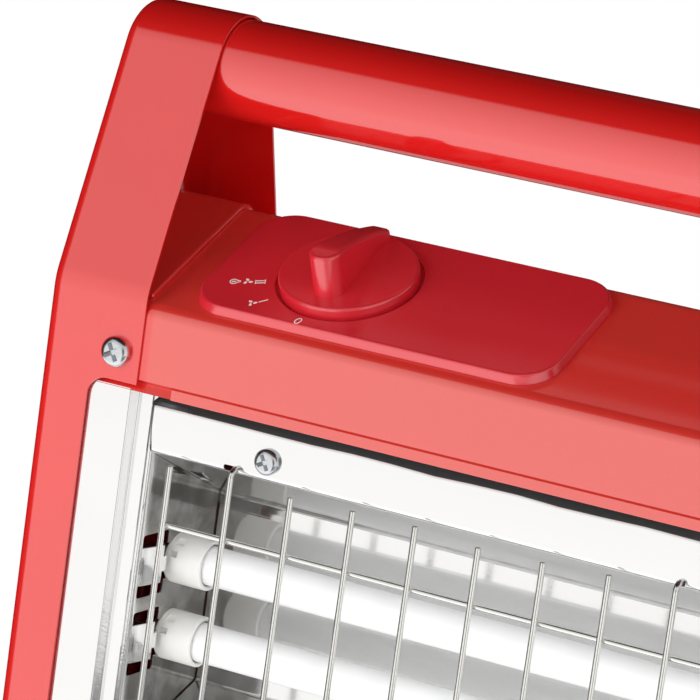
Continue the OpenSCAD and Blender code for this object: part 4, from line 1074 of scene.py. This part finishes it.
def make_marks():
    """Nought, one, two, and the small signs beside them, a hair above the plate"""
    top = PANEL_TOP + 0.06
    line, tall, serif_y, serif_half = 0.36, 2.8, 1.4, 0.14
    pieces = []

    def turned(piece, x, s):
        """Stands the sign on a line from the knob's middle"""
        lie = atan2(s - KNOB_S, x - KNOB_X) + pi / 2
        moved(piece, to(x, s, top) @ turn(lie, "Z"))
        pieces.append(piece)

    nought = ring("mark", (0, 0, 0), 1.0, "Z", 40, "NGON")
    choose_all()
    bpy.ops.transform.resize(value=(0.95, 1.5, 1.0))
    turned(outlined(nought, 0.34), -126.2, 5.6)
    turned(stroke(0.0, line, tall), -140.6, 10.9)
    serifs = [block("mark", (-1.0, y - serif_half, -MARK_T), (1.0, y + serif_half, 0.0))
              for y in (-serif_y, serif_y)]
    turned(joined("mark", [*serifs, stroke(-0.55, line, tall), stroke(0.55, line, tall)]), -146.4, 19.2)
    turned(fan_sign(), -143.1, 8.8)
    turned(fan_sign(), -149.9, 18.1)
    drop = ring("mark", (0, 0, 0), 1.25, "Z", 24, "NGON")
    choose("VERT", lambda v: at(v).y > 1.2)
    shift(y=0.8)
    drop = outlined(drop, 0.3)
    turned(joined("mark", [stroke(0.0, 0.5, 1.3), drop]), -153.7, 16.6)
    marks = joined("dial_marks", pieces)
    moved(marks, DECK)
    # The print lies on the panel, and takes the panel's finish before the print's own
    finish(marks, "case", "dial_plastic", smooth=30)
    dress(marks, "mark_print")


def make_dial(size):
    """The knob: a disc with a rounded rim, and a lever with a tall round front and a low square back"""
    r, low, high = size.knob / MM / 2, 2.0, 6.4
    rim_r, skirt, hollow = 1.0, 1.5, 1.2
    disc = bar("knob_disc", (0, 0, (low + high) / 2), r, high - low, "Z", 128)
    choose("EDGE", lambda e: near(at(e).z, high) and level(e))
    bevel(rim_r, 5)
    choose("FACE", lambda f: f.normal.z < -ALONG)
    inset(skirt)
    pull(z=hollow)
    front, front_r, back, back_r = -10.9, 4.7, r - 0.4, 2.9
    tall, back_tall, crown, sunk = 13.4, 2.5, 4.8, 0.6
    stations = 12
    lever = ring("knob_lever", (0, front, high - sunk), front_r, "Z", 48)
    choose("VERT", lambda v: at(v).y > front + 0.2)
    bpy.ops.mesh.delete(type="VERT")
    for side in SIDES:
        choose("VERT", lambda v: len(v.link_edges) == 1 and at(v).x * side > 0 and near(at(v).y, front, 0.3))
        draw_to(side * back_r, back, high - sunk)
    fill(lambda v: near(at(v).y, back))
    pull(z=tall + sunk)
    for k in range(stations):
        slice_at(spot(0, front + (back - front) * k / stations, 0), (0, 1, 0))
    for k in range(1, stations + 1):
        share = k / stations
        s = front + (back - front) * share
        choose("VERT", lambda v: at(v).z > high + 1 and near(at(v).y, s, 0.05))
        shift(z=(back_tall - tall) * share + crown * share * (1 - share))
    weld()
    all_out()
    choose("EDGE", lambda e: near(at(e).y, back) and runs(e, "Z"))
    bevel(0.9, 3)
    choose("EDGE", lambda e: len(e.link_faces) == 2 and max(f.normal.z for f in e.link_faces) > 0.5
           and min(f.normal.z for f in e.link_faces) < 0.3 and at(e).z > high + 1)
    bevel(1.1, 4)
    knob = joined("dial_knob_moulding", [lever, disc])
    moved(knob, DECK @ to(KNOB_X, KNOB_S, 0))
    finish(knob, "dial", "dial_plastic", "dial_knob", smooth=40)


def make_fan():
    """The grille sheet, and a hub with twisted blades"""
    softened("fan_panel", "fan_panel_sheet", 0.00015, "bright_sheet")
    hub_r, hub_l, tip_r, blade_count = 11.0, 13.0, 34.6, 5
    root, blade_l, blade_w, steps = 9.9, 25.0, 20.0, 10
    hub = bar("fan_rotor", (0, FAN_Y, MID_Z), hub_r, hub_l, "Y", 48)
    choose("FACE", lambda f: f.normal.y < -ALONG)
    inset(4.0)
    pull(y=1.5)
    round_edges(hub, 0.001, 3, 40)
    leave()
    bpy.ops.mesh.primitive_grid_add(x_subdivisions=steps, y_subdivisions=8, size=1,
                                    location=spot(root + blade_l / 2, 0, 0))
    blade = opened("blade", spot(blade_l, blade_w, 1.0))
    for k in range(steps + 1):
        share = k / steps
        x = root + blade_l * share
        choose("VERT", lambda v: near(at(v).x, x, 0.1))
        wide = 0.72 + 0.42 * sin(pi * min(1.0, share * 0.85 + 0.1))
        twist = radians(40 - 16 * share)
        bpy.ops.transform.resize(value=(1, wide, 1), center_override=spot(x, 0, 0))
        bpy.ops.transform.rotate(value=-twist, orient_axis="X", center_override=spot(x, 0, 0))
    thicken(blade, 0.0012, 0.0)
    round_edges(blade, 0.0004, 2, 50)
    trim = bar("trim", (0, 0, 0), 70.0, 60.0, "Z", 96)
    cut(trim, bar("hole", (0, 0, 0), tip_r, 70.0, "Z", 96))
    cut(blade, trim)
    upright = to(0, FAN_Y, MID_Z) @ turn(-pi / 2, "X")
    blades = [copied(blade, "blade", upright @ turn(2 * pi * k / blade_count, "Z"))
              for k in range(1, blade_count)]
    moved(blade, upright)
    finish(joined("fan_rotor", [*blades, blade, hub]), "fan", "black_plastic", "fan_blades")


def screw_head(size):
    """A domed, cross-slotted head with a short shank"""
    r, tall, dome, shank_r, shank_l = size.screw / MM / 2, 2.4, 1.7, 2.0, 4.0
    head = bar("screw", (0, 0, tall / 2), r, tall, "Z", 40)
    choose("EDGE", lambda e: near(at(e).z, tall) and level(e))
    bevel(dome, 6)
    choose("FACE", lambda f: f.normal.z < -ALONG)
    inset(r - shank_r)
    pull(z=-shank_l)
    for w, d in ((2.4, 0.62), (0.62, 2.4)):
        cut(head, block("slot", (-w, -d, 0.7), (w, d, 4)))
    return head


def make_screws(size):
    """One screw head, copied to every place that shows"""
    head = screw_head(size)
    front, back = turn(pi / 2, "X"), turn(-pi / 2, "X")
    facing = {-1: front, 1: back}
    flange_size, handle_size = Matrix.Scale(1.18, 4), Matrix.Scale(1.25, 4)
    groups = {
        "flange_screws": [((sx * 180.6, sy * HALF_D, z), facing[sy] @ flange_size)
                          for sx in SIDES for sy in SIDES for z in (357.4, 30.6)],
        "reflector_screws": [((sx * 130.3, RIM_Y, z), front) for sx in SIDES for z in (335.2, 52.8)],
        "back_screws": [((sx * 196, HALF_D, z), back) for sx in SIDES for z in (124, 264)],
        "fan_screws": [((sx * 130.3, RIM_Y, z), front) for sx in SIDES for z in (161.7, 226.3)]
                      + [((sx * 50, FAN_PANEL_Y, MID_Z), front) for sx in SIDES],
        "handle_screws": [((sx * HALF_W, 0, HANDLE_Z), turn(sx * pi / 2, "Y") @ handle_size) for sx in SIDES],
    }
    for node_name, places in groups.items():
        heads = [copied(head, "screw", to(*place) @ lie @ turn(0.5 + 0.9 * k, "Z"))
                 for k, (place, lie) in enumerate(places)]
        finish(joined(node_name[:-1] + "_heads", heads), "case", "screw_steel", node_name, smooth=35)
    bpy.data.objects.remove(head)


def make_feet():
    """Feet, pads, the lead's bush and the handle's plugs"""
    softened("left_foot", "left_foot_moulding", 0.0008, "black_plastic", 3)
    softened("right_foot", "right_foot_moulding", 0.0008, "black_plastic", 3)
    softened("foot_pads", "rubber_pads", 0.0005, "pad_rubber")
    softened("cord_gland", "lead_bush", 0.0004, "black_plastic")
    softened("handle_plugs", "handle_end_plugs", 0.0003, "black_plastic")


def dress_nodes():
    """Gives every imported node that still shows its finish"""
    groups = {
        "black_plastic": ["switch_body", "thermal_cutout", "tip_switch"],
        "white_plastic": ["tip_plunger", "terminal_block"],
        "heating_wire": [f"heating_coil_{k}" for k in range(1, 5)],
        "zinc_steel": ["switch_spindle", "tube_terminals", "fan_shaft", "motor_rotor", "motor_core",
                       "motor_front_plate", "motor_back_plate", "fan_bracket"],
        "screw_steel": ["switch_screws", "foot_screws"],
        "copper_wire": ["motor_coil"],
        "wire_sheath": ["wiring"],
    }
    for slot, names in groups.items():
        for name in names:
            dress(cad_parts[name], slot)


# Stage, in metres

FLOOR_R, FLOOR_RIM = 0.9, 0.3
FLOOR_ROUGH = 0.9

# White share of the floor by distance from the middle
FLOOR_FADE = (0.25, 0.8, 0.25, 1.0)

# What mirrors see of the floor beside plain white: more in front, less behind, and least at the front right
FLOOR_SHINE = (-0.1, 0.15, 0.25, -0.5)
FLOOR_DIM = (-0.1, 0.04, 0.0, -1.0)
FLOOR_DIM_FRONT = (-0.12, -0.25)
FLOOR_LEAST = -0.92

# What mirrors see of the room: its light by height, its tint, and the same after a bounce off a dull face
ROOM_LIGHT = (-0.6, 0.64, 1.28, 0.64)
ROOM_TINT = (1.0, 0.99, 0.97)
ROOM_BOUNCED = (2.4, 2.4, 2.36, 1)

# Dark cloths above, behind, at the front right and at the left of the room:
# the way each one hangs in, where it begins and where it is full, and what it leaves of the light
CLOTHS = (
    ((0.0, 0.0, 1.0), 0.63, 0.69, 0.03),
    ((-0.457, 0.889, 0.35), 0.1, 0.5, 0.05),
    ((0.457, -0.889, 0.0), 0.93, 0.97, 0.14),
    ((-0.98, 0.2, 0.0), 0.42, 0.64, 0.05),
)

# Light of the room on dull faces, which falls off towards the back and top
AMBIENT_WAY = (-0.25, 0.55, 0.8)
AMBIENT_LIGHT = (0.0, 0.75, 0.55, 0.05)

# Lamps: place, aim, width, height and radiance
LAMPS = {
    "front_panel_light": ((-0.8, -1.5, 0.68), (0, 0, 0.25), 1.6, 1.36, 2.6),
    "table_light": ((-0.15, -0.6, 0.01), (-0.15, -0.6, 1.0), 1.2, 0.7, 1.8),
    "side_panel_light": ((1.0, -1.1, 0.75), (0, 0, 0.25), 0.9, 1.2, 1.0),
    "back_panel_light": ((0.5, 1.5, 0.6), (0, 0, 0.2), 1.6, 0.9, 1.5),
}

# Camera: focal length and sensor in mm, clip range, and its frame
CAMERA_LENS, CAMERA_SENSOR = 221.13, 36.0
CAMERA_CLIP = (0.05, 50.0)
CAMERA_FRAME = Matrix((
    (0.86938891, -0.20598457, 0.44914727, 0.43084),
    (0.47527067, 0.09986909, -0.87415328, -1.08378),
    (0.13520616, 0.97344569, 0.18472351, 0.59441),
    (0, 0, 0, 1),
))


def add_lamp(name, place, target, w, h, glow):
    """A soft panel of a given radiance, aimed at a point"""
    lamp = bpy.data.lights.new(name, "AREA")
    lamp.shape = "RECTANGLE"
    lamp.size, lamp.size_y = w, h
    lamp.energy = glow * pi * w * h
    holder = bpy.data.objects.new(name, lamp)
    bpy.context.scene.collection.objects.link(holder)
    aim = Vector(target) - Vector(place)
    holder.matrix_world = Matrix.Translation(place) @ aim.to_track_quat("-Z", "Y").to_matrix().to_4x4()
    holder.visible_camera = False
    holder.visible_glossy = False


def make_floor(shade):
    """A pale round floor that keeps the object's shadow and turns white away from it"""
    leave()
    bpy.ops.mesh.primitive_circle_add(vertices=96, radius=FLOOR_R, fill_type="NGON")
    floor = opened("floor")
    choose_all()
    bpy.ops.mesh.inset(thickness=FLOOR_RIM)
    leave()
    made, tree, shader = new_finish("floor")
    seen = node(tree, "LightPath").outputs
    mirrored = seen["Is Glossy Ray"]
    direct = reckon(tree, "MAXIMUM", seen["Is Camera Ray"], mirrored)
    direct = reckon(tree, "MAXIMUM", direct, seen["Is Transmission Ray"])
    where = own_place(tree)
    far = node(tree, "VectorMath", {0: where}, operation="LENGTH").outputs["Value"]
    fade = ramp(tree, far, *FLOOR_FADE, interpolation_type="SMOOTHSTEP")
    share = product(tree, direct, reckon(tree, "MAXIMUM", fade, mirrored))
    grain = noise(tree, where, 40.0, 4.0)
    tone = blend(tree, grain, rgba(shade), rgba(shade, 0.97))
    set_shader(tree, shader, Base_Color=tone, Roughness=FLOOR_ROUGH)
    right, back = split(tree, where)[:2]
    dim = product(tree, ramp(tree, right, *FLOOR_DIM), ramp(tree, back, *FLOOR_DIM_FRONT))
    shine = reckon(tree, "ADD", ramp(tree, back, *FLOOR_SHINE), dim)
    shine = product(tree, reckon(tree, "MAXIMUM", shine, FLOOR_LEAST), mirrored)
    light = reckon(tree, "ADD", shine, 1.0)
    glow = node(tree, "Emission", {"Color": (1, 1, 1, 1), "Strength": light}).outputs[0]
    mixed = node(tree, "MixShader", {0: share, 1: shader.outputs[0], 2: glow}).outputs[0]
    tree.links.new(mixed, tree.nodes["Material Output"].inputs["Surface"])
    floor.data.materials.append(made)


def make_world():
    """White behind the object, and in mirrors a bright room with dark cloths"""
    world = bpy.data.worlds.new("studio")
    bpy.context.scene.world = world
    world.use_nodes = True
    tree = world.node_tree
    tree.nodes.clear()
    way = node(tree, "TexCoord").outputs["Generated"]
    room = ramp(tree, split(tree, way)[2], *ROOM_LIGHT)
    for hang, begin, full, left_over in CLOTHS:
        room = product(tree, room, ramp(tree, towards(tree, way, hang), begin, full, 1.0, left_over))
    seen = node(tree, "LightPath").outputs
    tinted = node(tree, "VectorMath", {0: ROOM_TINT, "Scale": room}, operation="SCALE").outputs[0]
    bounced = reckon(tree, "GREATER_THAN", seen["Diffuse Depth"], 0.5)
    mirrored = blend(tree, bounced, tinted, ROOM_BOUNCED)
    ambient = ramp(tree, towards(tree, way, AMBIENT_WAY), *AMBIENT_LIGHT)
    around = blend(tree, seen["Is Glossy Ray"], ambient, mirrored)
    open_view = reckon(tree, "MAXIMUM", seen["Is Camera Ray"], seen["Is Transmission Ray"])
    shown = blend(tree, open_view, around, (1, 1, 1, 1))
    light = node(tree, "Background", {"Color": shown, "Strength": 1.0}).outputs[0]
    tree.links.new(light, node(tree, "OutputWorld").inputs[0])


def make_stage(colours):
    """Floor, room, lamps and camera"""
    make_floor(colours.floor)
    make_world()
    for name, values in LAMPS.items():
        add_lamp(name, *values)
    lens = bpy.data.cameras.new("camera")
    lens.lens, lens.sensor_width = CAMERA_LENS, CAMERA_SENSOR
    lens.clip_start, lens.clip_end = CAMERA_CLIP
    camera = bpy.data.objects.new("camera", lens)
    scene = bpy.context.scene
    scene.collection.objects.link(camera)
    camera.matrix_world = CAMERA_FRAME
    scene.camera = camera
    scene.view_settings.view_transform = "Standard"


# Operators

class EndPanels(bpy.types.Operator):
    """Press the two end panels with their round tops and cut flanges"""
    bl_idname = "heater.end_panels"
    bl_label = "End panels"

    def execute(self, context):
        make_end_panels(context.scene.heater_sizes)
        return {"FINISHED"}


class CaseSheets(bpy.types.Operator):
    """Fold the top cover, its end bands, the base and the back"""
    bl_idname = "heater.case_sheets"
    bl_label = "Cover, base and back"

    def execute(self, context):
        make_case_sheets(context.scene.heater_sizes)
        return {"FINISHED"}


class Handle(bpy.types.Operator):
    """Set the carrying tube between the end panels"""
    bl_idname = "heater.handle"
    bl_label = "Handle"

    def execute(self, context):
        make_handle(context.scene.heater_sizes)
        return {"FINISHED"}


class TubePlates(bpy.types.Operator):
    """Fold the bright plates that hold the tubes' ends"""
    bl_idname = "heater.tube_plates"
    bl_label = "Tube plates"

    def execute(self, context):
        make_tube_plates(context.scene.heater_sizes)
        return {"FINISHED"}


class Reflectors(bpy.types.Operator):
    """Fold the two bright troughs"""
    bl_idname = "heater.reflectors"
    bl_label = "Reflectors"

    def execute(self, context):
        make_reflectors(context.scene.heater_sizes)
        return {"FINISHED"}


class Guard(bpy.types.Operator):
    """Bend and join the guard's wires"""
    bl_idname = "heater.guard"
    bl_label = "Wire guard"

    def execute(self, context):
        make_guard(context.scene.heater_sizes)
        return {"FINISHED"}


class Tubes(bpy.types.Operator):
    """Draw the quartz tubes and turn their ceramic caps"""
    bl_idname = "heater.tubes"
    bl_label = "Tubes and caps"

    def execute(self, context):
        make_tubes(context.scene.heater_sizes)
        return {"FINISHED"}


class ControlPanel(bpy.types.Operator):
    """Mould the control panel and print its marks"""
    bl_idname = "heater.control_panel"
    bl_label = "Control panel"

    def execute(self, context):
        make_control_panel(context.scene.heater_sizes)
        return {"FINISHED"}


class Dial(bpy.types.Operator):
    """Mould the dial knob with its lever"""
    bl_idname = "heater.dial"
    bl_label = "Dial knob"

    def execute(self, context):
        make_dial(context.scene.heater_sizes)
        return {"FINISHED"}


class Fan(bpy.types.Operator):
    """Mould the fan and press its grille sheet"""
    bl_idname = "heater.fan"
    bl_label = "Fan"

    def execute(self, context):
        make_fan()
        return {"FINISHED"}


class Screws(bpy.types.Operator):
    """Head one screw and copy it to every place that shows"""
    bl_idname = "heater.screws"
    bl_label = "Screws"

    def execute(self, context):
        make_screws(context.scene.heater_sizes)
        return {"FINISHED"}


class Feet(bpy.types.Operator):
    """Round the edges of the feet, pads, plugs and bush"""
    bl_idname = "heater.feet"
    bl_label = "Feet and bush"

    def execute(self, context):
        make_feet()
        return {"FINISHED"}


class Finishes(bpy.types.Operator):
    """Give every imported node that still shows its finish"""
    bl_idname = "heater.finishes"
    bl_label = "Finishes"

    def execute(self, context):
        dress_nodes()
        return {"FINISHED"}


class Stage(bpy.types.Operator):
    """Set the floor, the studio light and the camera"""
    bl_idname = "heater.stage"
    bl_label = "Stage"

    def execute(self, context):
        make_stage(context.scene.heater_colours)
        return {"FINISHED"}


STEPS = (Stage, EndPanels, CaseSheets, Handle, TubePlates, Reflectors, Guard, Tubes, ControlPanel, Dial, Fan,
         Screws, Feet, Finishes)


class HeaterPanel(bpy.types.Panel):
    """Lists the heater's pieces, sizes and colours"""
    bl_idname = "VIEW3D_PT_heater"
    bl_label = "Quartz heater"
    bl_space_type = "VIEW_3D"
    bl_region_type = "UI"
    bl_category = "Heater"

    def draw(self, context):
        for step in STEPS:
            self.layout.operator(step.bl_idname)
        for group in (context.scene.heater_sizes, context.scene.heater_colours):
            for key in group.__annotations__:
                self.layout.prop(group, key)


CLASSES = (HeaterSizes, HeaterColours, *STEPS, HeaterPanel)


def register():
    for made in CLASSES:
        bpy.utils.register_class(made)
    bpy.types.Scene.heater_sizes = PointerProperty(type=HeaterSizes)
    bpy.types.Scene.heater_colours = PointerProperty(type=HeaterColours)


def unregister():
    del bpy.types.Scene.heater_colours
    del bpy.types.Scene.heater_sizes
    for made in reversed(CLASSES):
        bpy.utils.unregister_class(made)


def main():
    register()
    for step in STEPS:
        group, call = step.bl_idname.split(".")
        getattr(getattr(bpy.ops, group), call)()


if __name__ == "__main__":
    main()
